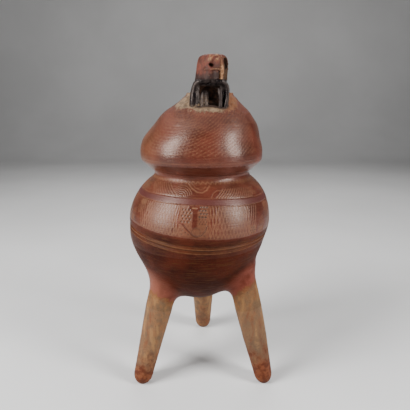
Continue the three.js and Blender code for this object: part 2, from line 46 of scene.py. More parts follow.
WALL = 6.0
FLOOR_Z = 87.0
BELLY_Z = 178.0
WAIST_Z = 227.0
EDGE_Z = 238.0
CROWN_Z = 247.0
COLLAR_Z = 284.0
RIM_Z = 305.5

BELLY_RADIUS = 73.7
WAIST_RADIUS = 48.7
EDGE_RADIUS = 60.4
CROWN_RADIUS = 62.2
RIM_RADIUS = 24.8
MOUTH_RADIUS = 18.4
LIP_RADIUS = 3.0
DOME_RISE = 68.0
BOWL_FULLNESS = 0.48
SHOULDER_FULLNESS = 0.33
DOME_FULLNESS = 0.35
COLLAR_FULLNESS = 0.32
EDGE_ROUNDING = 1.5
WAIST_BELOW = 6.0
WAIST_ABOVE = 3.6
WAIST_SIDE = 3.6
WAIST_NOTCH = 3.2
NECK_FLARE = 0.5
THROAT = 7.0

BOWL_SEAM = 156.0
RINGS = [
    ("belly", 156.0, 206.0, ["belly_wall", "upper_belly", "belly_shoulder"]),
    ("shoulder", 206.0, 220.0, ["shoulder_band"]),
    ("waist", 220.0, 232.6, ["waist_ring", "upper_waist"]),
    ("skirt", 232.6, 250.0, ["dome_skirt"]),
    ("dome", 250.0, COLLAR_Z, ["dome_crown", "dome_top"]),
]

# How far the axis has drifted sideways, as (height, drift)
LEAN = [
    (156.0, -6.0), (178.0, -3.6), (227.0, -1.2), (247.0, -1.6),
    (257.0, -1.6), (278.0, 3.0), (RIM_Z - LIP_RADIUS, 6.8),
]

# A depth is divided by the outward share of the wall's normal, or by this where the wall lies flat
LEAST_OUTWARD = 0.3

# The legs, as part.mjs has them: where each foot stands and how far it splays

FEET = {
    "left": {"x": -67.5, "y": -37.0, "splay": 15.3, "tip": 10.4, "shank": 12.4},
    "right": {"x": 67.5, "y": -36.0, "splay": 14.4, "tip": 9.8, "shank": 12.9},
    "back": {"x": -0.8, "y": 80.0, "splay": 18.0, "tip": 10.4, "shank": 12.8},
}
TIP_ROUNDING = 13.0
FOOT_WEAR = 1.4
SHANK_Z = 52.0
JOINT_Z = 85.0
JOINT_RADIUS = 14.4
ROOT_BLEND = 15.0

# How far a leg's form goes on above its joint, hidden in the bowl, and thins out there

STUMP_FULL = 44.0
STUMP_THIN = 62.0
STUMP_END = 60.0
STUMP_RADIUS = 4.0

# The effigy's foot on the collar, seen from above

EFFIGY_FOOT = np.array([6.9, -27.5])
EFFIGY_FOOT_HALF = np.array([16.4, 10.5])
EFFIGY_FOOT_LOW = 275.0

# How far under the rim the slip ends, and the height that it always reaches, as (angle, height)

WORN_LIP = 3.4
SLIP_TOP = np.array([
    (-180, 300), (-100, 300), (-78, 295), (-60, 291), (-44, 289), (-30, 288.4), (-15, 287.2),
    (0, 286.4), (16, 286.6), (31, 287.6), (47, 291), (60, 296), (100, 301), (180, 300),
])

# Where the lip wears thin, where the lost slip shows ochre clay, and where the darker slip lower down,
# partly painted shade, ends

LIP_WEAR = (299, 303.5)
OCHRE_FROM = (16, 23)
DARKER_AND_SHADED_UP_TO = (171, 181.4)

# Where the slip ends on the roots, at its nearest to the axis

ROOT_SLIP_Z = 99
ROOT_SLIP_FROM = 53

# How finely the surfaces are made, and how much spare form a flat cut takes off

COLUMNS = 960
ANGLES = np.linspace(-180, 180, COLUMNS, endpoint=False)[None, :]
ROW = 0.5
BOWL_STEP = 1.4
LEG_STEP = 1.1
EFFIGY_STEP = 0.45
INNER_ROWS = 10
SPARE = 4.0

# The carved pattern repeats three times round the vessel

SECTOR = 120.0
CANVAS_LOW = 150.0
CANVAS_HIGH = 306.0
CANVAS_ROW = 0.25
CANVAS_COLUMN = 0.25
MAUVE_BAND = (205.4, 211.0)
PANELS = (177.4, 205.2)
DOME_HATCH_Z = 287.0
DOME_HATCH_STEP = 2.5

# The bowl's outline as a table of distances in steps of 1 mm, from this height up

TABLE_LOW = 60
TABLE_RADIUS = 100
TABLE_HEIGHT = 140

# The low and high corners of the room for the bowl with its roots, and the room about a leg

BASE_ROOM = ((-92, -88, 60), (88, 92, BOWL_SEAM + SPARE))
LEG_ROOM = np.array([(18, 18, 1.5), (18, 18, 8)])


# Curves and the vessel's outline


def bezier(points, steps):
    """Points of a quadratic or cubic Bezier curve, without its first."""
    t = np.linspace(0, 1, steps + 1)[1:, None]
    points = [np.array(p, float) for p in points]
    while len(points) > 1:
        points = [a * (1 - t) + b * t for a, b in zip(points, points[1:])]
    return points[0]


def unit(way):
    return way / np.linalg.norm(way)


def wall_line():
    """The outline from the middle of the floor, over the belly and the dome, to the lip."""
    below = np.array([WAIST_RADIUS + WAIST_SIDE, WAIST_Z - WAIST_BELOW])
    notch = np.array([WAIST_RADIUS - WAIST_NOTCH, WAIST_Z - 1])
    above = np.array([WAIST_RADIUS + WAIST_SIDE, WAIST_Z + WAIST_ABOVE])
    belly = (BELLY_RADIUS, BELLY_Z)
    crown = (CROWN_RADIUS, CROWN_Z)
    top = CROWN_Z + DOME_RISE
    handle = (WAIST_Z - BELLY_Z) * SHOULDER_FULLNESS
    bowl = [
        (0, FLOOR_Z),
        (BELLY_RADIUS * BOWL_FULLNESS, FLOOR_Z),
        (BELLY_RADIUS, BELLY_Z - (BELLY_Z - FLOOR_Z) * BOWL_FULLNESS),
        belly,
    ]
    shoulder = [belly, (BELLY_RADIUS, BELLY_Z + handle), below - unit(notch - below) * handle, below]
    edge = [(EDGE_RADIUS, EDGE_Z), (CROWN_RADIUS, EDGE_Z + EDGE_ROUNDING), crown]
    dome = [
        crown,
        (CROWN_RADIUS, CROWN_Z + DOME_RISE * DOME_FULLNESS),
        (CROWN_RADIUS * DOME_FULLNESS, top),
        (0, top),
    ]
    line = np.vstack([
        [[0, FLOOR_Z]],
        bezier(bowl, 150),
        bezier(shoulder, 80),
        bezier([below, notch, above], 30),
        bezier([above, (above + edge[0]) / 2, edge[0]], 10),
        bezier(edge, 20),
        bezier(dome, 160),
    ])
    return np.vstack([line[line[:, 1] < COLLAR_Z - 0.1], collar_slope(line)])


def collar_slope(line):
    """The collar's slope, on from the dome's line and up to the lip."""
    levels = (COLLAR_Z, COLLAR_Z - 1)
    foot, before = [np.array([np.interp(z, line[:, 1], line[:, 0]), z]) for z in levels]
    neck = np.array([RIM_RADIUS, RIM_Z - LIP_RADIUS])
    handle = np.hypot(*(neck - foot)) * COLLAR_FULLNESS
    onward = unit(foot - before) * handle
    into_lip = unit(np.array([-NECK_FLARE, 1])) * handle
    return np.vstack([[foot], bezier([foot, foot + onward, neck - into_lip, neck], 40)])


OUTLINE = wall_line()


def radius_at(z):
    return np.interp(z, OUTLINE[:, 1], OUTLINE[:, 0])


def normal_at(z):
    """The outline's outward normal at a height, as (outwards, upwards)."""
    slope = (radius_at(z + 0.4) - radius_at(z - 0.4)) / 0.8
    length = np.hypot(1, slope)
    return 1 / length, -slope / length


def wall_scale(z):
    """Millimetres on the wall for one degree round it, and for one millimetre of height."""
    return radius_at(z) * math.pi / 180, 1 / max(normal_at(z)[0], LEAST_OUTWARD)


def smooth(x, low, high):
    t = np.clip((x - low) / (high - low), 0, 1)
    return t * t * (3 - 2 * t)


def fall(x, low, high):
    """From 1 at the low value to 0 at the high one."""
    return 1 - smooth(x, low, high)


def between(x, low, high, edge=1.0):
    """1 between two values, with a soft edge inside each."""
    return smooth(x, low, low + edge) * fall(x, high - edge, high)


def read_table(table, row, column):
    """The value between a table's four nearest entries. Its last column runs on into its first."""
    i, j = row.astype(int), column.astype(int)
    s, t = row - i, column - j
    beside = (j + 1) % table.shape[1]
    j = j % table.shape[1]
    low = table[i, j] * (1 - t) + table[i, beside] * t
    high = table[i + 1, j] * (1 - t) + table[i + 1, beside] * t
    return low * (1 - s) + high * s


def lean_at(z):
    """How far the vessel's axis has drifted sideways at a height."""
    lean = LEAN[0][1] + 0 * z
    for (low, before), (high, after) in zip(LEAN, LEAN[1:]):
        lean = lean + (after - before) * smooth(z, low, high)
    return lean


def lumps(points, size, seed):
    """A smooth uneven value from 0 to 1 through space, for clay shaped by hand."""
    rng = np.random.default_rng(seed)
    total = 0
    for _ in range(7):
        direction = unit(rng.normal(size=3))
        wave = 2 * math.pi / (size * rng.uniform(0.7, 1.6))
        total = total + np.sin(points @ direction * wave + rng.uniform(0, 6.28))
    return 0.5 + total / 14


def unevenness(points):
    """How far the hand-made surface lies under its ideal form."""
    return 0.45 * lumps(points, 34, 3) + 0.12 * lumps(points, 9, 4)


def away_from(x, y, path):
    """The distance of each place in a plane from a path of points."""
    distance = np.full(x.shape, FAR)
    for a, b in zip(path, path[1:]):
        run = b - a
        t = np.clip(((x - a[0]) * run[0] + (y - a[1]) * run[1]) / max(run @ run, 1e-9), 0, 1)
        distance = np.minimum(distance, np.hypot(x - a[0] - t * run[0], y - a[1] - t * run[1]))
    return distance


# The carving, drawn on a canvas of (height, angle) for one sector


class Canvas:
    """Depth in millimetres, and shares of bare clay, darkness painted into punched dots and cut lines as
    their shade, and mauve slip.
    """

    def __init__(self):
        self.z = np.arange(CANVAS_LOW, CANVAS_HIGH, CANVAS_ROW)
        self.angle = np.arange(-SECTOR / 2, SECTOR / 2, CANVAS_COLUMN)
        shape = (len(self.z), len(self.angle))
        self.layers = {name: np.zeros(shape) for name in ("depth", "bare", "dark", "mauve")}

    def distance(self, points, width):
        """The part of the canvas round a line of (angle, height) points, and its distance from it."""
        points = np.array(points, float)
        angle, z = points.mean(0)
        across, up = wall_scale(z)
        reach = np.ptp(points, axis=0) / 2 + [width / across, width]
        rows = np.nonzero(np.abs(self.z - z) <= reach[1])[0]
        columns = np.nonzero(np.abs(self.angle - angle) <= reach[0])[0]
        x, y = np.meshgrid(self.angle[columns] * across, self.z[rows] * up)
        return np.ix_(rows, columns), away_from(x, y, points * [across, up])

    def lay(self, where, share, depth, bare, dark=0.0):
        """Carves a part of the canvas, by a share from 0 to 1. A deeper cut that is there stays."""
        for name, value in (("depth", depth), ("bare", bare), ("dark", dark)):
            layer = self.layers[name]
            layer[where] = np.maximum(layer[where], share * value)

    def stroke(self, points, width, depth=0.4, bare=0.6, dark=0.0):
        """A line cut through (angle, height) points with a round tool."""
        where, away = self.distance(points, width)
        self.lay(where, fall(away, width * 0.25, width * 0.75), depth, bare, dark)

    def repeat(self, starts, points, *tool):
        """The same stroke from each of the starts, which are angles."""
        for start in starts:
            self.stroke([(start + angle, z) for angle, z in points], *tool)

    def arcs(self, angle, z, radii, start, end, *tool):
        """Arcs round one place."""
        for radius in radii:
            self.stroke(arc(angle, z, radius, start, end), *tool)

    # A punched dot, its inside darkened as painted shade.
    def dot(self, angle, z, width, depth=0.7, dark=0.9):
        self.stroke([(angle, z), (angle, z + 0.01)], width, depth, 0, dark)

    def dots(self, heights, start, step, shift, *tool):
        """Rows of three dots, each second row shifted sideways."""
        for row, z in enumerate(heights):
            for column in range(3):
                self.dot(start + column * step + (row % 2) * shift, z, *tool)

    def ground(self, left, right, low, high, depth, bare):
        """A scraped field between two angles and two heights, with soft edges."""
        share = between(self.z, low, high)[:, None] * between(self.angle, left, right)
        self.lay(..., share, depth, bare)

    def clear(self, points, width):
        """Slip left standing along a line, over a scraped field."""
        where, away = self.distance(points, width)
        for name in ("depth", "bare", "dark"):
            self.layers[name][where] *= smooth(away, width * 0.35, width * 0.65)

    def read(self, name, angle, z):
        """The layer's value at each angle and height."""
        row = np.clip((z - CANVAS_LOW) / CANVAS_ROW, 0, len(self.z) - 1.001)
        column = ((angle + SECTOR / 2) % SECTOR) / CANVAS_COLUMN
        return read_table(self.layers[name], row, column)


def arc(angle, z, radius, start, end, steps=10):
    """Points of a round arc on the wall, as (angle, height)."""
    across, up = wall_scale(z)
    turns = np.radians(np.linspace(start, end, steps))
    return [(angle + radius * math.cos(t) / across, z + radius * math.sin(t) / up) for t in turns]


def hatch_dome(canvas):
    """Fine burnished strokes that bow round two places beside the mouth and cross on the left."""
    angle, z = np.meshgrid(canvas.angle, canvas.z)
    turn, radius = np.radians(angle), radius_at(z)
    inside = between(z, 247, 302, 3) * fall(np.abs(angle), 54, 59)
    for (x, y), share in (((-18, -27), 1.0), ((24, -22), 0.6 * fall(angle, -8, 14))):
        across = np.hypot(radius * np.sin(turn) - x, radius * np.cos(turn) + y)
        away = np.hypot(across, z - DOME_HATCH_Z)
        wobble = 0.1 * np.sin(angle * 0.31 + x) + 0.08 * np.sin(z * 0.27 + angle * 0.11)
        line = fall(np.abs((away / DOME_HATCH_STEP + wobble) % 1 - 0.5) * 2, 0.1, 0.6)
        dashes = 0.65 + 0.35 * np.sin(away * 1.1 + angle * 1.6 + 0.6 * z)
        canvas.lay(..., line * share * inside * dashes, 0.05, 0.3)


def carve_neck(canvas):
    """The fringe under the waist, with arcs, a loose strand and fans of strokes."""
    canvas.repeat(np.arange(-58, 58, 5.2), [(0, 222.2), (1.8, 224.2), (3.6, 222.9)], 1.3, 0.06, 0.46)
    canvas.arcs(-18, 211.5, (3, 5, 7, 9, 11), 15, 150, 0.9, 0.12, 0.34)
    strand = [(-14, 222), (-9, 218.5), (-4, 216), (1, 215.6), (5, 217.6), (8, 221)]
    canvas.stroke(strand, 1.4, 0.15, 0.42)
    canvas.stroke([(-11, 222.4), (-6, 219.2), (-2, 218), (2, 218.4), (4, 220.4)], 1.1, 0.12, 0.28)
    canvas.stroke([(9, 212), (11, 215.5), (15, 217.5), (20, 217), (23, 214)], 1.0, 0.12, 0.26)
    canvas.repeat(np.arange(13, 50, 2.6), [(0, 211.6), (3, 214), (8, 218.6)], 0.95, 0.15, 0.42)
    canvas.repeat(np.arange(-60, -34, 3.2), [(0, 221), (6, 217), (13, 212)], 0.95, 0.12, 0.4)
    for start in (49, 52, 55, 58):
        canvas.stroke(arc(start, 212, 4.5, 20, 110, 6), 0.9, 0.12, 0.36)
    canvas.ground(-61, 61, 218.5, 226, 0, 0.08)
    canvas.layers["mauve"] += between(canvas.z, *MAUVE_BAND)[:, None]


def carve_panels(canvas):
    """The belly's panels: two hatched fields beside one with dots and a bar."""
    floor, top = PANELS
    for left, right in ((-43.5, -19.4), (13.6, 38.2)):
        canvas.ground(left, right, floor, top, 0.1, 0.1)
        for side, edge in ((1, left), (-1, right)):
            starts = edge + side * np.arange(-8, 34, 2.7)
            starts = starts[(starts > left - 6) & (starts < right + 6)]
            canvas.repeat(starts, [(0, floor), (side * 7, top)], 0.85, 0.12, 0.46)
    borders = (-45.4, -18.6, -16.8, 7.8, 10.2, 12.6, 39.6)
    canvas.repeat(borders, [(0.5, floor + 1), (-0.3, 190), (0.4, top - 1)], 0.9, 0.15, 0.46)
    canvas.ground(-15.8, 7.2, floor, top, 0.2, 0.3)
    carve_middle(canvas)
    carve_star(canvas, 43.8, 182)
    canvas.arcs(60, 181, (4, 6, 8, 10, 12), 90, 200, 0.9, 0.15, 0.3)
    canvas.arcs(-60, 200, (4, 6, 8, 10, 12), -80, 30, 0.9, 0.15, 0.3)
    canvas.ground(51, 58, 178, 184, 0.2, 0.3)
    canvas.ground(-58.5, -49, 199, 204.5, 0.2, 0.3)


def carve_middle(canvas):
    """The middle panel: a standing bar between punched dots, over a pointed loop."""
    canvas.clear([(-4.2, 204), (-3.4, 198), (-3.4, 187.5)], 4.6)
    canvas.clear([(-7.4, 203), (-1.2, 203)], 4.4)
    canvas.stroke([(-6, 203.2), (-2.8, 203.2)], 1.1, 0.4, 0.9)
    canvas.dots(np.arange(204.2, 196, -2.7), 0.9, 2.2, -0.9, 1.7)
    canvas.dots(np.arange(196, 188.5, -1.9), 1.1, 2, -0.8, 1.1, 0.5, 0.7)
    canvas.dots(np.arange(201.5, 189, -2.6), -13, 2.5, 1.1, 1.6, 0.6, 0.75)
    canvas.clear([(-15.6, 190.5), (-12, 189), (-8.4, 184.5), (-4, 179.6), (-1.4, 178.4)], 1.6)
    canvas.stroke([(-11.5, 188.4), (-8, 184), (-4, 179.4), (-1.4, 178)], 1.0, 0.5, 0.1, 0.5)
    canvas.stroke([(-1.4, 178), (1.6, 179.6), (4.4, 183.6), (6, 189)], 1.0, 0.5, 0.1, 0.42)
    canvas.stroke(arc(-2, 182.6, 3.9, 0, 360, 16), 1.0, 0.3, 0.2, 0.34)
    for angle, z in ((-9.4, 181.6), (-11.8, 183.4), (-7.4, 180), (-12.4, 179.6), (4.2, 179.6)):
        canvas.dot(angle, z, 1.2, 0.5, 0.6)


def carve_star(canvas, angle, z):
    """A star of punched dots round a ring, beside the right panel."""
    canvas.ground(angle - 4.4, angle + 4.4, z - 4.5, z + 5, 0.2, 0.36)
    for turn in range(0, 360, 60):
        reach = math.radians(turn)
        canvas.dot(angle + 2.3 * math.cos(reach), z + 2.9 * math.sin(reach), 1.5, 0.6, 0.8)
    canvas.stroke(arc(angle, z, 1.0, 0, 360, 8), 0.9, 0.4, 0.2, 0.5)


def carve_lines(canvas):
    """The lines that run all the way round."""
    ring = np.array([(a, 0) for a in np.arange(-62, 63, 4)], float)
    for z, width, depth, bare in (
        (168.0, 1.9, 0.8, 0.16),
        (163.8, 1.8, 0.7, 0.14),
        (177.0, 0.8, 0.12, 0.2),
        (205.3, 0.8, 0.4, 0.2),
        (211.2, 0.8, 0.4, 0.2),
        (165.9, 1.0, 0.0, 0.5),
        (161.7, 1.0, 0.0, 0.42),
        (228.9, 0.9, 0.3, 0.0),
        (231.0, 0.9, 0.3, 0.0),
        (241.6, 0.9, 0.12, 0.16),
    ):
        canvas.stroke(ring + [0, z], width, depth, bare)


def carved_canvas():
    canvas = Canvas()
    for carve in (hatch_dome, carve_neck, carve_panels, carve_lines):
        carve(canvas)
    return canvas


def drawn_height(angle, z):
    """The height on the canvas that belongs to a height on the vase: level lines dip and bow."""
    turn = np.radians(angle)
    levels = [165, 178, 208, 222, 240]
    dip = np.interp(z, levels, [4.4, 5.4, 2.6, 1.2, 0])
    bow = np.interp(z, levels, [5.4, 1.0, -2.0, -1.0, 0])
    return z + dip * np.sin(turn) - bow * np.sin(turn) ** 2


# Pieces


def new_mesh(name, points, faces):
    """A mesh from (n, 3) points in millimetres and (m, 4) corners."""
    mesh = bpy.data.meshes.new(name)
    mesh.vertices.add(len(points))
    mesh.vertices.foreach_set("co", (points * MM).astype(np.float32).ravel())
    mesh.loops.add(faces.size)
    mesh.loops.foreach_set("vertex_index", faces.astype(np.int32).ravel())
    mesh.polygons.add(len(faces))
    mesh.polygons.foreach_set("loop_start", np.arange(0, faces.size, faces.shape[1], dtype=np.int32))
    mesh.update(calc_edges=True)
    mesh.polygons.foreach_set("use_smooth", np.ones(len(faces), bool))
    return mesh


def give(mesh, values):
    """Values for each point, which the materials read by their names."""
    for name, value in values.items():
        layer = mesh.attributes.new(name, "FLOAT", "POINT")
        layer.data.foreach_set("value", np.asarray(value, np.float32).ravel())


def mark(mesh, values, faces):
    """The faces where a value is high take the piece's second material."""
    index = (values.ravel()[faces].mean(1) > 0.5).astype(np.int32)
    mesh.attributes.new("material_index", "INT", "FACE").data.foreach_set("value", index)


def shown(name, data):
    """A new object in the scene."""
    obj = bpy.data.objects.new(name, data)
    bpy.context.scene.collection.objects.link(obj)
    return obj


def piece(name, mesh, materials, nodes):
    obj = shown(name, mesh)
    for material in materials:
        mesh.materials.append(material)
    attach(obj, BODY)
    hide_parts(*nodes)


def vase_origin():
    """Where the vessel's axis stands in the frame, from the foot of the collar, its widest part."""
    low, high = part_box("mouth_collar")
    middle = (low + high) / 2 / MM
    return np.array([middle.x - lean_at(COLLAR_Z), middle.y, 0])


def in_frame(place):
    """A place in the frame, in metres, from one by the vessel's axis in millimetres."""
    return Vector(((ORIGIN + place) * MM).tolist())


def ring_mesh(name, grid):
    """A mesh of a wall whose grid closes on itself both round the vase and across the wall."""
    rows, columns = grid.shape[:2]
    row = np.arange(rows)[:, None] * columns
    column = np.arange(columns)
    above, beside = row + columns, (column + 1) % columns
    faces = np.stack([row + column, row + beside, above + beside, above + column], -1)
    faces = faces.reshape(-1, 4) % (rows * columns)
    return new_mesh(name, grid.reshape(-1, 3) + ORIGIN, faces), faces


def sharpen(mesh, rows):
    """The edges where the outer surface of a ring ends stay sharp."""
    corners = np.empty(len(mesh.edges) * 2, np.int32)
    mesh.edges.foreach_get("vertices", corners)
    first, second = corners.reshape(-1, 2).T // COLUMNS
    sharp = (first == second) & ((first == 0) | (first == rows - 1))
    mesh.attributes.new("sharp_edge", "BOOLEAN", "EDGE").data.foreach_set("value", sharp)


def even_heights(low, high):
    """Heights between two levels that are an even way apart along the outline."""
    fine = np.linspace(low, high, 400)
    way = np.concatenate([[0], np.cumsum(np.hypot(np.diff(fine), np.diff(radius_at(fine))))])
    return np.interp(np.linspace(0, way[-1], max(int(way[-1] / ROW), 4)), way, fine)


def around(radius, z, angle):
    """A point of the vase, from its distance from the leaning axis, height and angle."""
    turn = np.radians(angle)
    x = lean_at(z) + radius * np.sin(turn)
    return np.stack(np.broadcast_arrays(x, -radius * np.cos(turn), z), -1)


def worked_wall(radius, z, angle, canvas):
    """The plain wall, how far its worked surface is sunk, and what the slip's material reads."""
    drawn = drawn_height(angle, z)
    plain = around(radius, z, angle)
    values = {name: canvas.read(name, angle, drawn) for name in canvas.layers}
    sunk = unevenness(plain) + values.pop("depth") - clay_bed(plain)
    x = plain[..., 0]
    off = from_effigy(plain)
    worn = np.minimum(off - bed_reach(x), RIM_Z - WORN_LIP - z)
    worn = np.maximum(worn, np.interp(angle, *SLIP_TOP.T) - z)
    values["slip"] = worn + 3 * (lumps(plain, 7, 8) - 0.5) + 1.4 * (lumps(plain, 2.6, 9) - 0.5)
    values["ochre"] = smooth(x, *OCHRE_FROM)
    # Darker lower down: partly the slip's own tone, partly painted shade
    values["fired"] = fall(drawn, *DARKER_AND_SHADED_UP_TO)
    # Darker under the effigy's foot and along its edge
    values["dark"] = np.maximum(values["dark"], fall(off, -0.6, 1.0))
    return plain, sunk, values


def from_effigy(points):
    """How far a point of the collar is from the effigy's foot, seen from above."""
    away = (points[..., :2] - EFFIGY_FOOT) / EFFIGY_FOOT_HALF
    out = ((away**4).sum(-1) ** 0.25 - 1) * EFFIGY_FOOT_HALF.min()
    return out + np.maximum(EFFIGY_FOOT_LOW - points[..., 2], 0)


def bed_reach(x):
    """How far the bed of clay reaches out from the effigy's foot, most on the left of the mouth."""
    return np.interp(x, [-22, -10, 4, 16, 31], [13, 5.5, 5, 3, 9])


def clay_bed(points):
    """How thick the lumpy bed of clay under the effigy is."""
    off = from_effigy(points)
    share = fall(off / bed_reach(points[..., 0]), 0.3, 1.05) * smooth(off, -3, 0)
    return share * (0.5 + 2.2 * lumps(points, 6, 13))


def carved_ring(name, low, high, nodes, canvas, materials):
    """A ring of the wall between two joints, with the carving cut into its outside."""
    angle, z = np.broadcast_arrays(ANGLES, even_heights(low, high)[:, None])
    _, sunk, values = worked_wall(radius_at(z), z, angle, canvas)
    outer = around(radius_at(z) - sunk / normal_at(z)[0], z, angle)
    inner_z = np.linspace(high, low, INNER_ROWS)[:, None]
    inner = around(radius_at(inner_z) - WALL, inner_z, ANGLES)
    mesh, faces = ring_mesh(name, np.concatenate([outer, inner]))
    sharpen(mesh, len(z))
    blank = np.zeros(inner.shape[:2])
    values = {layer: np.concatenate([value, blank]) for layer, value in values.items()}
    give(mesh, values)
    mark(mesh, values["fired"], faces)
    piece(name, mesh, materials, nodes)


def collar_profile():
    """The collar's (radius, height) points: up its slope, over the round lip and down the throat."""
    neck = (RIM_RADIUS, RIM_Z - LIP_RADIUS)
    lip = bezier([neck, (RIM_RADIUS, RIM_Z), (RIM_RADIUS - LIP_RADIUS, RIM_Z)], 8)
    over = bezier([lip[-1], (MOUTH_RADIUS, RIM_Z), (MOUTH_RADIUS, RIM_Z - LIP_RADIUS)], 8)
    under = COLLAR_Z - WALL * 0.65
    inside = [(MOUTH_RADIUS, RIM_Z - THROAT), (radius_at(under) - WALL, under)]
    slope = even_heights(COLLAR_Z, neck[1])
    return np.vstack([np.stack([radius_at(slope), slope], -1), lip, over, inside])


def collar(canvas, materials):
    """The low collar round the mouth, with slip that ends at the effigy's bed of clay."""
    profile = collar_profile()
    run = np.gradient(profile, axis=0)
    run /= np.hypot(*run.T)[:, None]
    outwards, upwards = run[:, 1:], -run[:, :1]
    outwards[0] = normal_at(COLLAR_Z)[0]
    angle, z = np.broadcast_arrays(ANGLES, profile[:, 1:])
    radius = profile[:, :1] + 0 * z
    plain, sunk, values = worked_wall(radius, z, angle, canvas)
    sunk += (0.7 + 1.3 * lumps(plain, 7, 12)) * smooth(z, *LIP_WEAR)
    sunk[-2:] = 0
    square = smooth(z, COLLAR_Z, COLLAR_Z + 8)
    square[-2:] = 1
    level = (1 - square) / np.maximum(outwards, LEAST_OUTWARD)
    grid = around(radius - sunk * (outwards * square + level), z, angle)
    grid[..., 2] -= sunk * upwards * square
    mesh, _ = ring_mesh("mouth_collar_worn", grid)
    give(mesh, values)
    piece("mouth_collar_worn", mesh, materials, ["mouth_collar"])


# Forms given by a field: a distance that is negative inside


def gradient(field, points, step):
    moves = np.eye(3) * step
    return np.stack([field(points + m) - field(points - m) for m in moves], -1) / (2 * step)


def settle(field, points):
    """Moves the points on to the surface of the field."""
    for _ in range(5):
        slope = gradient(field, points, 0.35)
        points = points - slope * (field(points) / np.maximum((slope**2).sum(-1), 1e-6))[:, None]
    return points


CORNERS = [(i, j, k) for i in (0, 1) for j in (0, 1) for k in (0, 1)]
CELL_EDGES = [(corner, way) for corner in CORNERS for way in np.eye(3, dtype=int) if not way @ corner]


def cell_points(values, cells, low, step):
    """One point in each cell that the surface crosses, in the middle of where it cuts the edges."""
    total = np.zeros((len(cells), 3))
    count = np.zeros(len(cells))
    for corner, way in CELL_EDGES:
        start = cells + corner
        a = values[tuple(start.T)]
        b = values[tuple((start + way).T)]
        crossed = (a < 0) != (b < 0)
        share = np.where(crossed, a / np.where(crossed, a - b, 1), 0)
        total += (corner + share[:, None] * way) * crossed[:, None]
        count += crossed
    return low + (cells + total / count[:, None]) * step


def quads_across(inside, number, axis):
    """A quad round each edge of the lattice along an axis that the surface crosses."""
    last = np.array(inside.shape) - 1
    across = [a for a in range(3) if a != axis]
    edges = np.argwhere(inside != np.roll(inside, -1, axis))
    edges = edges[(edges < last).all(1) & (edges[:, across] > 0).all(1)]
    corners = []
    for back in ((0, 0), (-1, 0), (-1, -1), (0, -1)):
        cell = edges.copy()
        cell[:, across] += back
        corners.append(number[tuple(cell.T)])
    quads = np.stack(corners, -1)
    flip = inside[tuple(edges.T)] != (axis == 1)
    quads[flip] = quads[flip, ::-1]
    return quads


def skin(field, low, high, step):
    """Points and quads of the surface of a field between two corners."""
    low = np.array(low, float)
    counts = np.ceil((np.array(high) - low) / step).astype(int) + 1
    lattice = np.stack(np.meshgrid(*[np.arange(n) for n in counts], indexing="ij"), -1)
    values = [field(low + part.reshape(-1, 3) * step) for part in lattice]
    values = np.concatenate(values).reshape(counts)
    inside = values < 0
    full = 0
    for corner in CORNERS:
        full = full + inside[tuple(slice(c, n - 1 + c) for c, n in zip(corner, counts))]
    cells = np.argwhere((full > 0) & (full < 8))
    number = np.full(full.shape, -1)
    number[tuple(cells.T)] = np.arange(len(cells))
    faces = np.concatenate([quads_across(inside, number, axis) for axis in range(3)])
    return settle(field, cell_points(values, cells, low, step)), faces


def blended(a, b, reach):
    """The union of two fields with a fillet between them."""
    near = np.maximum(reach - np.abs(a - b), 0) / reach
    return np.minimum(a, b) - near * near * reach / 4


def bowl_table():
    """Signed distances to the outline, on a lattice of (radius, height) with steps of 1 mm."""
    r, h = np.meshgrid(np.arange(TABLE_RADIUS), TABLE_LOW + np.arange(TABLE_HEIGHT), indexing="ij")
    distance = away_from(r, h, OUTLINE[OUTLINE[:, 1] < TABLE_LOW + TABLE_HEIGHT + 15])
    inside = (h > FLOOR_Z) & (r < radius_at(h))
    return np.where(inside, -distance, distance)


BOWL_TABLE = bowl_table()


def bowl_field(p):
    """The distance outside the bowl's outer surface."""
    radius = np.clip(np.hypot(p[:, 0] - lean_at(p[:, 2]), p[:, 1]), 0, TABLE_RADIUS - 1.1)
    height = np.clip(p[:, 2] - TABLE_LOW, 0, TABLE_HEIGHT - 1.1)
    return read_table(BOWL_TABLE, radius, height)


def leg_axis(foot):
    """The start of a leg's axis under the ground, and the way up it."""
    out = unit(np.array([foot["x"], foot["y"], 0]))
    splay = math.radians(foot["splay"])
    up = np.array([0, 0, math.cos(splay)]) - out * math.sin(splay)
    return np.array([foot["x"], foot["y"], -FOOT_WEAR]), up


def leg_field(p, foot):
    """The distance outside a leg with a rounded tip, drawn on up into the bowl."""
    start, up = leg_axis(foot)
    along = (p - start) @ up
    away = np.linalg.norm(p - start - along[:, None] * up, axis=1)
    shank = (SHANK_Z + FOOT_WEAR) / up[2]
    joint = (JOINT_Z + FOOT_WEAR) / up[2]
    places = [TIP_ROUNDING, shank, joint, joint + STUMP_FULL, joint + STUMP_THIN]
    radii = [foot["tip"], foot["shank"], JOINT_RADIUS, JOINT_RADIUS, STUMP_RADIUS]
    low = np.minimum(along - TIP_ROUNDING, 0) / TIP_ROUNDING
    tip = (np.hypot(away / foot["tip"], low) - 1) * foot["tip"]
    side = np.where(along > TIP_ROUNDING, away - np.interp(along, places, radii), tip)
    return np.maximum(side, along - joint - STUMP_END)


def legs_field(p):
    return np.minimum.reduce([leg_field(p, foot) for foot in FEET.values()])


def clay_field(p):
    """The bowl and its three legs as one body of clay."""
    return blended(bowl_field(p), legs_field(p), ROOT_BLEND) + unevenness(p)


def joint_of(foot):
    """The middle of the joint between a leg and its root, and the way up the leg."""
    start, up = leg_axis(foot)
    return start + up * (JOINT_Z + FOOT_WEAR) / up[2], up


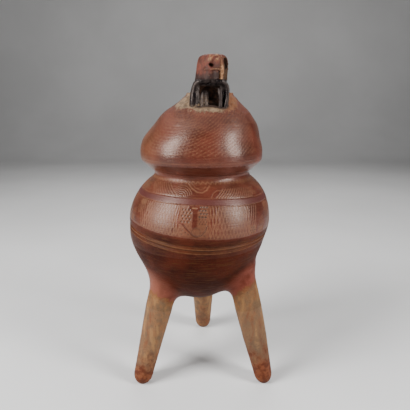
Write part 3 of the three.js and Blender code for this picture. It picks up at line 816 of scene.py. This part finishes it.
def base_field(p):
    """The hollow bowl with its roots, and a stump of each leg to cut at its joint."""
    shell = np.maximum(clay_field(p), -(bowl_field(p) + WALL))
    cuts = [(at - p) @ up for at, up in map(joint_of, FEET.values())]
    return np.maximum(shell, np.maximum.reduce(cuts) - SPARE)


def one_leg_field(foot):
    """A leg standing on the ground, with some spare clay above its joint."""
    at, up = joint_of(foot)

    def field(p):
        return np.maximum.reduce([clay_field(p), (p - at) @ up - SPARE, -p[:, 2]])

    return field


def root_values(p):
    """The slip's edge, and where the redder slip of the roots and the bowl's upper side is, which the
    roots' material also lightens as a painted highlight.
    """
    return {"slip": slip_on_roots(p), "root": fall(legs_field(p), -3, 15)}


def cut_flat(mesh, at, normal, reach):
    """Cuts a closed mesh along a plane within reach of a point, and closes the part behind the plane."""
    bm = bmesh.new()
    bm.from_mesh(mesh)
    at = in_frame(at)
    near = [f for f in bm.faces if (f.calc_center_median() - at).length < reach * MM]
    edges = [e for f in near for e in f.edges]
    corners = [v for f in near for v in f.verts]
    # Each part once, in an order that is the same on every run
    parts = list(dict.fromkeys([*near, *edges, *corners]))
    bmesh.ops.bisect_plane(bm, geom=parts, plane_co=at, plane_no=normal, clear_outer=True)
    rim = [e for e in bm.edges if e.is_boundary]
    for edge in rim:
        edge.smooth = False
    bmesh.ops.triangle_fill(bm, edges=rim, use_beauty=True, normal=normal)
    bm.to_mesh(mesh)
    bm.free()


def slip_on_roots(p):
    """How many millimetres a point is inside the slip, which ends in a worn edge across the roots."""
    from_axis = np.hypot(p[:, 0], p[:, 1])
    right = smooth(p[:, 0], -20, 20)
    edge = ROOT_SLIP_Z + 9 * right + (0.62 + 0.4 * right) * (from_axis - ROOT_SLIP_FROM)
    edge = edge + 8 * (lumps(p, 13, 21) - 0.5) + 5 * (lumps(p, 5, 22) - 0.5)
    on_leg = smooth(bowl_field(p), 1.5, 3.5)
    return (p[:, 2] - edge) * on_leg + 20 * (1 - on_leg)


def field_piece(name, field, low, high, step, materials, nodes, slot, values=None, cuts=()):
    """A piece from a field between two corners, with values for its materials, and cut along planes."""
    points, faces = skin(field, low, high, step)
    mesh = new_mesh(name, points + ORIGIN, faces)
    layers = values(points) if values else {}
    give(mesh, layers)
    # Faces painted dark as shade take the piece's second material
    if "dark" in layers:
        mark(mesh, layers["dark"], faces)
    for at, normal, reach in cuts:
        cut_flat(mesh, at, normal, reach)
    piece(name, mesh, materials, nodes)


# Materials


class Shader:
    """A node material, built up by short calls."""

    def __init__(self, name, mirroring, cast):
        """How strongly the surface mirrors, and the cast of what it mirrors, are set on it directly."""
        self.material = bpy.data.materials.new(name)
        self.material.use_nodes = True
        self.tree = self.material.node_tree
        self.surface = self.tree.nodes["Principled BSDF"]
        self.surface.inputs["Specular IOR Level"].default_value = mirroring
        self.surface.inputs["Specular Tint"].default_value = cast
        self.place = self.tree.nodes.new("ShaderNodeTexCoord").outputs["Object"]

    def node(self, kind, output, inputs, **settings):
        """The output of a new node whose inputs are numbers or other nodes' outputs."""
        node = self.tree.nodes.new(f"ShaderNode{kind}")
        for key, value in settings.items():
            setattr(node, key, value)
        for key, value in inputs.items():
            if isinstance(value, bpy.types.NodeSocket):
                self.tree.links.new(value, node.inputs[key])
            else:
                node.inputs[key].default_value = value
        return node.outputs[output]

    def stretched(self, scale):
        return self.node("Mapping", "Vector", {"Vector": self.place, "Scale": scale})

    def noise(self, size, detail, place=None):
        """Noise whose patches are about size millimetres wide."""
        inputs = {"Scale": 1 / (size * MM), "Detail": detail, "Roughness": 0.55}
        return self.node("TexNoise", "Fac", {"Vector": place or self.place, **inputs})

    def attribute(self, name):
        return self.node("Attribute", "Fac", {}, attribute_name=name)

    def span(self, value, low, high, to_low=0.0, to_high=1.0):
        """A value taken from one range to another, and held inside it."""
        inputs = {"Value": value, "From Min": low, "From Max": high, "To Min": to_low, "To Max": to_high}
        return self.node("MapRange", "Result", inputs, interpolation_type="SMOOTHSTEP")

    def patches(self, size, detail, low, high, most=1.0):
        """Patches of noise, from 0 to most."""
        return self.span(self.noise(size, detail), low, high, 0, most)

    def plus(self, a, b):
        return self.node("Math", 0, {0: a, 1: b}, operation="ADD")

    def times(self, a, b):
        return self.node("Math", 0, {0: a, 1: b}, operation="MULTIPLY")

    def larger(self, a, b):
        return self.node("Math", 0, {0: a, 1: b}, operation="MAXIMUM")

    def mix(self, share, a, b):
        a, b = [c if isinstance(c, bpy.types.NodeSocket) else (*c, 1) for c in (a, b)]
        return self.node("Mix", 2, {"Factor": share, 6: a, 7: b}, data_type="RGBA")

    def coats(self, colour, *coats):
        """A colour with others laid over it in turn, each as (share, colour)."""
        for share, other in coats:
            colour = self.mix(share, colour, other)
        return colour

    def along(self, axis):
        """How far a point of the surface is along an axis of the frame, in metres."""
        return self.node("SeparateXYZ", axis, {0: self.place})

    def finish(self, colour, roughness, relief, depth, strength):
        """The material, with a relief of so many millimetres."""
        inputs = {"Height": relief, "Distance": depth * MM, "Strength": strength}
        normal = self.node("Bump", "Normal", inputs)
        for key, value in (("Normal", normal), ("Base Color", colour), ("Roughness", roughness)):
            self.tree.links.new(value, self.surface.inputs[key])
        return self.material


SLIP_DEEP = (0.038, 0.0078, 0.0048)
SLIP_WARM = (0.084, 0.0185, 0.0105)
SLIP_MAUVE = (0.058, 0.0135, 0.011)
SLIP_WORN = (0.13, 0.047, 0.026)
SLIP_SHADED = (0.019, 0.0028, 0.0011)
SLIP_UNDER = (0.048, 0.0085, 0.0034)
SLIP_OLIVE = (0.052, 0.018, 0.006)
ROSE_SLIP_AND_HIGHLIGHT = (0.142, 0.038, 0.025)
PAINTED_HIGHLIGHT_ROSE = (0.22, 0.085, 0.055)
BARE_CLAY = (0.17, 0.079, 0.035)
SMOKED_CLAY = (0.062, 0.040, 0.026)
GREY_CLAY = (0.092, 0.060, 0.036)
PALE_CLAY = (0.225, 0.117, 0.048)
ORANGE_CLAY = (0.120, 0.034, 0.013)
TIP_CLAY = (0.066, 0.015, 0.0055)
CREAM = (0.172, 0.112, 0.066)
# Dark soot specks in the clay, and the colour of painted shade in hollows
SOOT_AND_SHADE = (0.016, 0.007, 0.004)
# Black for painted shade in the eyes, the hollow behind the bill and the niche
BLACK = (0.0035, 0.002, 0.0015)
HEAD_BROWN = (0.040, 0.0105, 0.007)
HEAD_RED = (0.100, 0.026, 0.017)
HEAD_SHADE_PURPLE = (0.015, 0.0062, 0.0058)
HEAD_STAIN = (0.022, 0.008, 0.006)
BROW_TAN = (0.12, 0.048, 0.022)
BROW_CREAM = (0.28, 0.155, 0.078)
FLANK_DARK = (0.018, 0.0075, 0.0032)
FLANK_OLIVE = (0.046, 0.020, 0.008)
BODY_BLACK = (0.004, 0.003, 0.0035)
BODY_BROWN = (0.016, 0.011, 0.010)
FLOOR_DARKER = (0.55, 0.545, 0.54)
FLOOR_PALER = (0.60, 0.595, 0.59)
WARM_CAST = (1.0, 0.80, 0.70, 1)
NO_CAST = (1, 1, 1, 1)


def cut_clay(shader):
    """Where the carving lays the clay bare, with some slip left in it."""
    kept = shader.span(shader.noise(3, 3), 0.25, 0.6, 0.55, 1)
    return shader.times(shader.attribute("bare"), kept)


def rubbed_and_lit_left(shader):
    """The slip's paler left side, mostly on the dome: partly worn slip and partly painted light on the
    side towards the left lamp.
    """
    left = shader.times(shader.span(shader.along("X"), -0.056, -0.03, 0.5, 0), shader.noise(2.4, 4))
    return shader.times(left, shader.span(shader.along("Z"), 0.19, 0.235, 0.2, 1))


def upper_slip(shader, mottle):
    return shader.mix(shader.span(mottle, 0.32, 0.68), SLIP_DEEP, SLIP_WARM)


def slip_material():
    """Burnished slip over clay: mottled, streaked, worn in specks and cut by the carving."""
    shader = Shader("burnished_slip", 0.40, WARM_CAST)
    fired, mauve, slip, dark = [shader.attribute(n) for n in ("fired", "mauve", "slip", "dark")]
    streaks = shader.noise(18, 4, shader.stretched((1, 1, 14)))
    mottle = shader.noise(26, 5)
    grain = shader.noise(1.2, 3)
    cut = cut_clay(shader)
    ragged = shader.plus(slip, shader.span(shader.noise(2.2, 4), 0.2, 0.8, -1.8, 1.8))
    lost = shader.span(ragged, -0.9, 0.9, 1, 0)
    colour = shader.coats(
        upper_slip(shader, mottle),
        (shader.span(streaks, 0.45, 0.75, 0, 0.3), SLIP_WORN),
        (shader.patches(2.6, 4, 0.5, 0.75, 0.3), SLIP_DEEP),
        # Darker lower down, partly as painted shade
        (shader.span(fired, 0, 0.5, 0, 0.6), SLIP_UNDER),
        (shader.span(grain, 0.58, 0.78, 0, 0.5), BARE_CLAY),
        # Partly worn slip, partly painted light on the left side
        (rubbed_and_lit_left(shader), BARE_CLAY),
        (mauve, SLIP_MAUVE),
        (cut, BARE_CLAY),
        (lost, worn_clay(shader)),
        # Painted shade in the punched dots and cut lines, and the darkening along the effigy's foot
        (dark, SOOT_AND_SHADE),
    )
    rough = shader.plus(shader.span(mottle, 0.3, 0.7, 0.28, 0.37), shader.times(cut, 0.5))
    rough = shader.plus(rough, shader.span(slip, 2, 24, 0.42, 0))
    rough = shader.plus(rough, shader.times(mauve, 0.14))
    rough = shader.larger(rough, shader.times(lost, 0.85))
    rough = shader.larger(rough, shader.times(dark, 0.8))
    relief = shader.plus(shader.times(streaks, 0.9), shader.times(grain, 0.35))
    return shader.finish(colour, rough, relief, 0.35, 0.6)


def worn_clay(shader):
    """The clay of the mouth under lost slip: cream, greyed and pitted, and orange on the right."""
    patches = shader.noise(4.5, 5)
    return shader.coats(
        GREY_CLAY,
        (shader.span(patches, 0.36, 0.56), CREAM),
        (shader.patches(3, 4, 0.46, 0.62, 0.8), GREY_CLAY),
        (shader.attribute("ochre"), shader.mix(patches, ORANGE_CLAY, BARE_CLAY)),
        (shader.patches(1.3, 3, 0.56, 0.72, 0.7), SOOT_AND_SHADE),
    )


def fired_slip(shader):
    """The darker slip under the panels and on the bowl, partly its own tone and partly painted shade
    towards the bottom, and its streaks along the burnisher's way.
    """
    streaks = shader.noise(15, 5, shader.stretched((1, 1, 13)))
    fine = shader.noise(7, 4, shader.stretched((1, 1, 9)))
    colour = shader.coats(
        SLIP_SHADED,
        (shader.patches(24, 5, 0.34, 0.66), SLIP_UNDER),
        (shader.span(streaks, 0.48, 0.7, 0, 0.8), SLIP_OLIVE),
        (shader.span(fine, 0.5, 0.72, 0, 0.6), SLIP_UNDER),
    )
    return colour, streaks


def under_material():
    """The same slip lower down: darker, partly as painted shade, and duller."""
    shader = Shader("dulled_slip", 0.10, WARM_CAST)
    darker, streaks = fired_slip(shader)
    grain = shader.noise(1.2, 3)
    cut = cut_clay(shader)
    upper = upper_slip(shader, shader.noise(26, 5))
    colour = shader.coats(
        darker,
        (shader.span(shader.attribute("fired"), 0.5, 1, 0.6, 0), upper),
        (cut, BARE_CLAY),
        (shader.span(grain, 0.6, 0.78, 0, 0.4), SLIP_WORN),
    )
    rough = shader.plus(shader.span(streaks, 0.3, 0.7, 0.42, 0.52), shader.times(cut, 0.3))
    relief = shader.plus(shader.times(streaks, 0.7), shader.times(grain, 0.7))
    return shader.finish(colour, rough, relief, 0.4, 0.7)


def root_material():
    """The bowl and its rose-red roots, lightened as a painted highlight, most on the left root. Their
    slip ends in a ragged wash over the legs' bare clay.
    """
    shader = Shader("slip_over_legs", 0.05, WARM_CAST)
    # The bowl's darker slip is partly painted shade towards the bottom
    darker, streaks = fired_slip(shader)
    grain = shader.noise(1.3, 3)
    root = shader.attribute("root")
    rose = shader.coats(
        SLIP_WARM,
        # The roots' rose slip, made lighter as a painted highlight
        (shader.patches(12, 5, 0.3, 0.6), ROSE_SLIP_AND_HIGHLIGHT),
        # Painted highlight on the left root
        (shader.span(shader.along("X"), -0.055, -0.02, 0.6, 0), PAINTED_HIGHLIGHT_ROSE),
    )
    ragged = shader.plus(shader.attribute("slip"), shader.span(shader.noise(2.8, 5), 0.2, 0.8, -3, 3))
    lost = shader.span(ragged, -1.4, 1.2, 1, 0)
    stained = shader.mix(shader.span(ragged, -9, 0, 0, 0.55), bare_clay(shader), ORANGE_CLAY)
    colour = shader.coats(
        darker,
        (root, rose),
        (shader.span(grain, 0.62, 0.8, 0, 0.45), SLIP_WORN),
        (lost, stained),
    )
    rough = shader.larger(shader.span(root, 0, 1, 0.54, 0.34), shader.times(lost, 0.78))
    relief = shader.plus(shader.times(streaks, 0.7), shader.times(grain, 0.7))
    return shader.finish(colour, rough, relief, 0.45, 0.8)


def burnt_tips(shader, right):
    """The legs' orange tips, which reach higher on the right leg and are faint on the back one."""
    wander = shader.span(shader.noise(10, 6), 0.25, 0.75, -0.014, 0.014)
    lifted = shader.plus(wander, shader.times(right, -0.008))
    tips = shader.span(shader.plus(shader.along("Z"), lifted), 0.010, 0.044, 1, 0)
    return shader.times(tips, shader.span(shader.along("Y"), 0.02, 0.05, 1, 0.4))


def bare_clay(shader):
    """Buff clay with paler streaks along it, grey clouds from the fire, orange tips and dark pits."""
    streaks = shader.noise(11, 6, shader.stretched((1.7, 1.7, 0.35)))
    mottle = shader.noise(5, 6)
    right = shader.span(shader.along("X"), 0.03, 0.05)
    smoked = shader.times(right, shader.span(mottle, 0.4, 0.6, 0.1, 0.65))
    smoked = shader.times(smoked, shader.span(shader.along("Z"), 0.05, 0.085, 1, 0.2))
    return shader.coats(
        GREY_CLAY,
        (shader.span(mottle, 0.3, 0.7, 0.25, 1), BARE_CLAY),
        (shader.span(streaks, 0.5, 0.62, 0, 0.7), PALE_CLAY),
        (shader.span(streaks, 0.34, 0.46, 0.55, 0), ORANGE_CLAY),
        (shader.patches(16, 6, 0.52, 0.68, 0.7), GREY_CLAY),
        (smoked, SMOKED_CLAY),
        (burnt_tips(shader, right), shader.mix(shader.span(mottle, 0.4, 0.6), TIP_CLAY, ORANGE_CLAY)),
        (shader.patches(1.1, 2, 0.62, 0.74, 0.6), SOOT_AND_SHADE),
    )


def leg_material():
    shader = Shader("bare_buff_clay", 0.2, WARM_CAST)
    grain = shader.noise(1.5, 5)
    rough = shader.span(grain, 0.3, 0.7, 0.62, 0.8)
    relief = shader.plus(shader.times(grain, 0.7), shader.noise(5, 5))
    return shader.finish(bare_clay(shader), rough, relief, 0.6, 0.9)


def head_material():
    """Worn red-brown slip, rubbed to cream on the brow and bill, with painted shade in purple-brown
    under the cheek.
    """
    shader = Shader("worn_brown_slip", 0.22, WARM_CAST)
    patches = shader.noise(5, 5)
    grain = shader.noise(1.1, 4)
    rubbed = shader.mix(shader.patches(1.8, 4, 0.35, 0.65), BROW_TAN, BROW_CREAM)
    flank = shader.mix(shader.patches(2, 3, 0.35, 0.65), FLANK_DARK, FLANK_OLIVE)
    colour = shader.coats(
        HEAD_BROWN,
        (shader.span(patches, 0.36, 0.64), HEAD_RED),
        (shader.attribute("shade"), HEAD_SHADE_PURPLE),
        (shader.patches(2.2, 4, 0.5, 0.7, 0.4), HEAD_STAIN),
        (shader.attribute("flank"), flank),
        (shader.attribute("wear"), rubbed),
        (shader.span(grain, 0.58, 0.74, 0, 0.55), BARE_CLAY),
        # Painted shade in the eyes and the hollow behind the bill
        (shader.attribute("dark"), BLACK),
    )
    return shader.finish(colour, shader.span(patches, 0.3, 0.7, 0.5, 0.66), grain, 0.4, 0.9)


def body_material():
    """Glossy black slip, worn to buff spots on the left shin and smeared with clay at its foot."""
    shader = Shader("black_slip", 0.19, WARM_CAST)
    patches = shader.noise(5, 4)
    worn = shader.times(shader.attribute("wear"), shader.patches(1.2, 4, 0.42, 0.6))
    colour = shader.coats(BODY_BLACK, (shader.span(patches, 0.35, 0.7), BODY_BROWN), (worn, CREAM))
    rough = shader.plus(shader.span(patches, 0.3, 0.7, 0.25, 0.4), shader.times(worn, 0.4))
    return shader.finish(colour, rough, shader.noise(1.3, 4), 0.4, 0.9)


def painted_shade_material():
    """Painted shade: dull black inside the niche, the eyes and the hollow behind the bill."""
    shader = Shader("dull_painted_shade", 0.04, WARM_CAST)
    patches = shader.noise(3, 4)
    colour = shader.mix(shader.span(patches, 0.4, 0.7), BLACK, SOOT_AND_SHADE)
    return shader.finish(colour, shader.span(patches, 0.3, 0.7, 0.8, 0.95), patches, 0.3, 0.8)


def floor_material():
    shader = Shader("pale_floor", 0.5, NO_CAST)
    cloud = shader.noise(400, 3)
    colour = shader.mix(shader.span(cloud, 0.3, 0.7), FLOOR_DARKER, FLOOR_PALER)
    return shader.finish(colour, shader.span(cloud, 0.3, 0.7, 0.8, 0.9), cloud, 0.1, 0.1)


# The effigy, in its own frame: the origin is on the collar's slope under its chest


EFFIGY_SET_IN = 10.5
EFFIGY_DROP = 15.0
EFFIGY_X = 6.4
NECK_Z = 24.6
HEAD_HALF = np.array([12.7, 12.4, 12.0])
HEAD_CENTRE = np.array([2.1, 0.5, 35.2])
HEAD_TURN = 43.0
BODY_HALF = np.array([14.6, 8.4, 13.4])
BODY_CENTRE = np.array([0.8, -1.8, 10.2])
NICHE_HALF = np.array([9.4, 4.6, 14.5])
NICHE_CENTRE = np.array([-1.2, -10.6, 3.0])
NICHE_FLOOR = 1.5
EYE_HALF = np.array([2.4, 3.0, 1.3])
EYE_PLACE = (15.2, 1.2)
EYE_SPREAD = 47.0
EYE_SLANT = 24.0

# The low and high corners of the room that each piece needs, from the seat

HEAD_ROOM = np.array([(-16, -22, 17), (20, 18, 50)])
BODY_ROOM = np.array([(-22, -20, -10), (22, 12, 29)])

# Routes as (x, y, z, radius): the limbs from hand or knee down, and the bill
# from brow to tip, in the frame of the head
LIMBS = {
    "arm_left": [
        (-2.4, -11.6, 22.4, 1.9),
        (-8, -11.4, 22.4, 2.2),
        (-12.2, -8.8, 19.8, 3.2),
        (-14.0, -8.4, 10, 4.4),
        (-14.8, -9.0, -8, 4.7),
    ],
    "arm_right": [
        (3.4, -11.6, 22.4, 1.9),
        (9, -11.6, 22.6, 1.9),
        (14.8, -9, 19.6, 2.2),
        (16, -9.2, 10.5, 1.8),
        (13.2, -11.8, -7, 1.8),
    ],
    "shin_left": [(-5.2, -6.8, 11.5, 3.2), (-5.4, -7.4, 5.5, 4.2), (-5.4, -7.8, -7, 4.4)],
    "shin_right": [(9.4, -9, 15.2, 1.8), (9.9, -10.8, 8, 1.6), (9.6, -12, -7, 1.6)],
}
BILL = [(0, -11.4, 6.5, 1.5), (0, -13.4, 1.5, 1.9), (0, -14.5, -4.5, 1.8), (0.3, -14.3, -10.4, 1.2)]
CHEEK_LINE = [
    (-12.6, -4.1, -2.2, 0.5),
    (-9.7, -10.9, -2.3, 0.6),
    (-4.7, -12.5, -1.8, 0.7),
    (-1.7, -13.8, -4, 0.7),
    (-1.2, -14.2, -9, 0.6),
]


def spline(points, steps):
    """Points of a smooth curve through some points."""
    points = np.array(points, float)
    ends = np.vstack([2 * points[0] - points[1], points, 2 * points[-1] - points[-2]])
    t = np.linspace(0, 1, steps, endpoint=False)[:, None]
    runs = []
    for a, b, c, d in zip(ends, ends[1:], ends[2:], ends[3:]):
        square = 2 * a - 5 * b + 4 * c - d
        cube = 3 * b - a - 3 * c + d
        runs.append(0.5 * (2 * b + (c - a) * t + square * t**2 + cube * t**3))
    return np.vstack([*runs, points[-1:]])


def block(p, half, plan, above, below):
    """The distance outside a block: a power of 2 rounds it like a ball, and more squares it off."""
    flat = (np.abs(p[:, :2] / half[:2]) ** plan).sum(-1) ** (1 / plan)
    power = np.where(p[:, 2] > 0, above, below)
    size = (flat**power + np.abs(p[:, 2] / half[2]) ** power) ** (1 / power)
    return (size - 1) * np.min(half)


def line_field(p, route):
    """The distance outside a round line along a route of (x, y, z, radius)."""
    path = spline(route, 5)
    distance = np.full(len(p), FAR)
    for a, b in zip(path, path[1:]):
        start, run = a[:3], (b - a)[:3]
        t = np.clip((p - start) @ run / (run @ run), 0, 1)
        away = np.linalg.norm(p - start - t[:, None] * run, axis=1)
        distance = np.minimum(distance, away - (a[3] + (b[3] - a[3]) * t))
    return distance


def into_head(p):
    """Points in the frame of the turned head, which spreads a little towards its foot."""
    turn = math.radians(HEAD_TURN)
    x, y, z = (p - HEAD_CENTRE).T
    down = -z / HEAD_HALF[2]
    x = (x + 0.9 * down) / (1 + 0.05 * down)
    y = y / (1 + 0.05 * down)
    across = x * math.cos(turn) + y * math.sin(turn)
    back = -x * math.sin(turn) + y * math.cos(turn)
    return np.stack([across, back, z], -1)


def eye(q, side, grown=0.0):
    """The distance outside an almond punched into a corner of the face, slanting to the bill."""
    turn = math.radians(side * EYE_SPREAD)
    slant = math.radians(side * EYE_SLANT)
    ahead = np.array([math.sin(turn), -math.cos(turn), 0])
    level = np.array([math.cos(turn), math.sin(turn), 0])
    aside = level * math.cos(slant) + np.array([0, 0, math.sin(slant)])
    upright = np.cross(ahead, aside)
    reach, rise = EYE_PLACE
    d = q - ahead * reach - np.array([0, 0, rise])
    half = EYE_HALF + grown
    place = np.stack([d @ aside, d @ ahead, d @ upright], -1) / half
    return (np.linalg.norm(place, axis=1) - 1) * half.min()


def hollow_cheek(q):
    """The distance outside the hollow behind the bill, on the far side of the face."""
    return block(q - np.array([5.4, -13.4, 4.0]), np.array([2.6, 1.9, 5.2]), 2.4, 2.4, 2.4)


def head_form(p):
    q = into_head(p)
    head = block(q, HEAD_HALF, 3.4, 4.2, 12)
    head = blended(head, line_field(q, BILL), 2.2)
    head = blended(head, line_field(q, CHEEK_LINE), 1.6)
    for side in (-1, 1):
        lid = np.abs(eye(q, side, 0.9)) - 0.35
        head = blended(head, np.maximum(lid, head - 0.45), 0.5)
        head = np.maximum(head, -eye(q, side))
    return np.maximum(head, -hollow_cheek(q))


def effigy_seat():
    """Where the effigy's frame stands on the vase."""
    forwards = (radius_at(COLLAR_Z) + RIM_RADIUS) / 2 - EFFIGY_SET_IN
    return np.array([EFFIGY_X, -forwards, RIM_Z - EFFIGY_DROP])


def niche(p):
    """The distance outside the niche, which leaves a floor of clay on the collar."""
    hollow = block(p - NICHE_CENTRE, NICHE_HALF, 3, 3, 6)
    return np.maximum(hollow, NICHE_FLOOR - above_collar(p + effigy_seat()))


def body_form(p):
    body = np.maximum(block(p - BODY_CENTRE, BODY_HALF, 3.6, 9, 6), -niche(p))
    for name, route in LIMBS.items():
        body = blended(body, line_field(p, route), 3 if name == "arm_left" else 1.4)
    return body


def effigy_field(p):
    """Head and body as one uneven piece of clay."""
    uneven = 0.5 * lumps(p, 7, 31) + 0.14 * lumps(p, 2.4, 32) - 0.2
    return blended(head_form(p), body_form(p), 2.6) + uneven


def above_collar(p):
    """How far a point of the vase is above the collar, with its mouth filled."""
    r = np.hypot(p[:, 0] - lean_at(p[:, 2]), p[:, 1])
    top = OUTLINE[OUTLINE[:, 1] > COLLAR_Z - 8][::-1]
    return (p[:, 2] - np.interp(r, top[:, 0], top[:, 1])) * 0.7


def head_values(p):
    """Where the head is rubbed, darkened by painted shade, dark olive on the bill's flank, and black as
    painted shade in the eyes and the hollow behind the bill.
    """
    q = into_head(p)
    x, ahead, z = q[:, 0], -q[:, 1], q[:, 2]
    spots = lumps(p, 3.6, 41)
    forehead = smooth(z, 3.5, 8) * smooth(ahead, 3, 8) * smooth(spots, 0.46, 0.62)
    forehead = forehead * (1 - 0.8 * smooth(x, -2, 0.5))
    ridge = smooth(x, -2.7, -1.9) * fall(x, -1.1, -0.5) * smooth(ahead, 11, 12)
    ridge = ridge * (1 - 0.6 * smooth(z, -1, 4)) * fall(z, 6, 9)
    flank = smooth(x, -1.1, -0.5) * smooth(ahead, 6, 9) * fall(z, 2, 8)
    cheek = fall(line_field(q, CHEEK_LINE), -0.2, 0.4)
    # Painted shade: the eyes and the hollow behind the bill are made black
    eyes = np.maximum.reduce([fall(eye(q, side), -0.2, 0.5) for side in (-1, 1)])
    hollow = fall(hollow_cheek(q), -0.2, 1.2) * 0.9
    wear = np.maximum.reduce([forehead, ridge, cheek * 0.5])
    # Painted shade in purple-brown, darkest towards the neck
    shade = fall(z + 6 * spots - 0.25 * x, -3, 4) * (1 - ridge) * (1 - flank)
    return {"wear": wear, "shade": shade, "flank": flank, "dark": np.maximum(eyes, hollow)}


def body_values(p):
    """Where the body is worn or smeared with clay, and the painted shade inside its niche."""
    shin = fall(line_field(p, LIMBS["shin_left"]), -0.3, 1.2) * fall(p[:, 2], 7, 13)
    reach = 1.6 + 2.6 * smooth(-p[:, 0], 7, 12)
    smeared = (above_collar(p + effigy_seat()) + 2.4 * lumps(p, 3, 43)) / reach
    limbs = np.minimum.reduce([line_field(p, route) for route in LIMBS.values()])
    # Painted shade: the inside of the niche is made dark
    inside = fall(niche(p), 0.5, 3.5) * smooth(limbs, 0.2, 1.0) * fall(p[:, 2], 18, 20)
    return {"wear": np.maximum(shin * 0.34, fall(smeared, 0.5, 1.1) * (1 - inside)), "dark": inside}


def build_effigy():
    seat = effigy_seat()
    neck = seat + [0, 0, NECK_Z]
    painted_shade = painted_shade_material()
    limbs = ["effigy_arm_left", "effigy_arm_right", "effigy_shin_left", "effigy_shin_right"]

    def head(p):
        return np.maximum(effigy_field(p - seat), neck[2] - SPARE - p[:, 2])

    def body(p):
        foot = -above_collar(p) - 1
        return np.maximum.reduce([effigy_field(p - seat), p[:, 2] - neck[2] - SPARE, foot])

    field_piece(
        "effigy_head_worn", head, *(seat + HEAD_ROOM), EFFIGY_STEP,
        [head_material(), painted_shade], ["effigy_head", "effigy_bill"], "brown_slip",
        lambda p: head_values(p - seat), [(neck, (0, 0, -1), 60)],
    )
    field_piece(
        "effigy_body_glossy", body, *(seat + BODY_ROOM), EFFIGY_STEP,
        [body_material(), painted_shade], ["effigy_body", *limbs], "black_slip",
        lambda p: body_values(p - seat), [(neck, (0, 0, 1), 60)],
    )


def build_vessel(canvas):
    slip = slip_material()
    for name, low, high, nodes in RINGS:
        materials = [slip, under_material()] if name == "belly" else [slip]
        carved_ring(f"{name}_carved", low, high, nodes, canvas, materials)
    collar(canvas, [slip])


def build_base():
    roots = ["leg_root_left", "leg_root_right", "leg_root_back"]
    cuts = [(np.array([0, 0, BOWL_SEAM]), (0, 0, 1), 200)]
    cuts += [(at, tuple(-up), 30) for at, up in map(joint_of, FEET.values())]
    field_piece(
        "bowl_with_roots", base_field, *BASE_ROOM, BOWL_STEP, [root_material()],
        ["base_bowl", "bowl_wall", "upper_bowl", *roots], "red_slip", root_values, cuts,
    )
    clay = leg_material()
    for side, foot in FEET.items():
        at, up = joint_of(foot)
        tip = np.array([foot["x"], foot["y"], 0])
        room = np.minimum(at, tip) - LEG_ROOM[0], np.maximum(at, tip) + LEG_ROOM[1]
        field_piece(
            f"leg_{side}_clay", one_leg_field(foot), *room, LEG_STEP,
            [clay], [f"leg_{side}"], "buff_clay", None, [(at, tuple(up), 60)],
        )


# Studio


LIGHTS_AIM = Vector((0, 0, 0.19))
SWEEP_HALF = 2.6
SWEEP_FRONT = -1.6
SWEEP_BACK = 1.6
SWEEP_HEIGHT = 2.2
SWEEP_BEND = 0.7
SWEEP_STEPS = 24
WORLD_COLOUR = (0.80, 0.82, 0.86, 1)
WORLD_STRENGTH = 0.055

# The camera's place from the vessel's axis, and how many degrees it looks down
CAMERA_PLACE = [2, -410, 295]
CAMERA_DOWN = 14.45


def softbox(name, azimuth, elevation, distance, width, height, power):
    """A rectangular light that faces the vase. Azimuth 0 is at the camera's side."""
    light = bpy.data.lights.new(name, "AREA")
    light.shape = "RECTANGLE"
    light.size = width
    light.size_y = height
    light.energy = power
    obj = shown(name, light)
    turn, rise = math.radians(azimuth), math.radians(elevation)
    level = math.cos(rise)
    way = Vector((math.sin(turn) * level, -math.cos(turn) * level, math.sin(rise)))
    obj.location = LIGHTS_AIM + way * distance
    obj.rotation_euler = way.to_track_quat("Z", "Y").to_euler()


def build_sweep():
    """The floor, which bends up into the backdrop."""
    turns = np.radians(np.linspace(0, 90, SWEEP_STEPS + 1))
    line = [(SWEEP_FRONT, 0.0)]
    line += [(SWEEP_BACK + SWEEP_BEND * math.sin(t), SWEEP_BEND * (1 - math.cos(t))) for t in turns]
    line += [(SWEEP_BACK + SWEEP_BEND, SWEEP_HEIGHT)]
    points = np.array([(x, y, z) for y, z in line for x in (-SWEEP_HALF, SWEEP_HALF)]) / MM
    faces = np.array([(2 * i, 2 * i + 1, 2 * i + 3, 2 * i + 2) for i in range(len(line) - 1)])
    sweep = shown("studio_sweep", new_mesh("studio_sweep", points, faces))
    sweep.data.materials.append(floor_material())


def build_lights():
    softbox("left_softbox", -60, 28, 1.1, 0.46, 1.0, 33)
    softbox("right_softbox", 61, 22, 1.1, 0.32, 0.8, 21)
    softbox("back_softbox", 175, 48, 1.3, 0.9, 0.7, 9)
    world = bpy.data.worlds.new("studio")
    world.use_nodes = True
    background = world.node_tree.nodes["Background"]
    background.inputs["Color"].default_value = WORLD_COLOUR
    background.inputs["Strength"].default_value = WORLD_STRENGTH
    bpy.context.scene.world = world


def build_camera():
    camera = bpy.data.cameras.new("camera")
    camera.lens = 35
    camera.sensor_width = 36
    obj = shown("camera", camera)
    obj.location = in_frame(CAMERA_PLACE)
    obj.rotation_euler = Euler((math.radians(90 - CAMERA_DOWN), 0, 0))
    bpy.context.scene.camera = obj


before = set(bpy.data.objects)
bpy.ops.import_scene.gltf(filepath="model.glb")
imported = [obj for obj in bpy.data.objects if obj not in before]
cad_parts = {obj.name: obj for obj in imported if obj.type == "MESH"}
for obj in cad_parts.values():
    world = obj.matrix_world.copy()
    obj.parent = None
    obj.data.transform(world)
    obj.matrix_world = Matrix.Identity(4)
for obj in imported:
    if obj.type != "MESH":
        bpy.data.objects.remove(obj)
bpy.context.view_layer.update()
ORIGIN = vase_origin()

build_camera()
build_sweep()
build_lights()
build_base()
build_vessel(carved_canvas())
build_effigy()
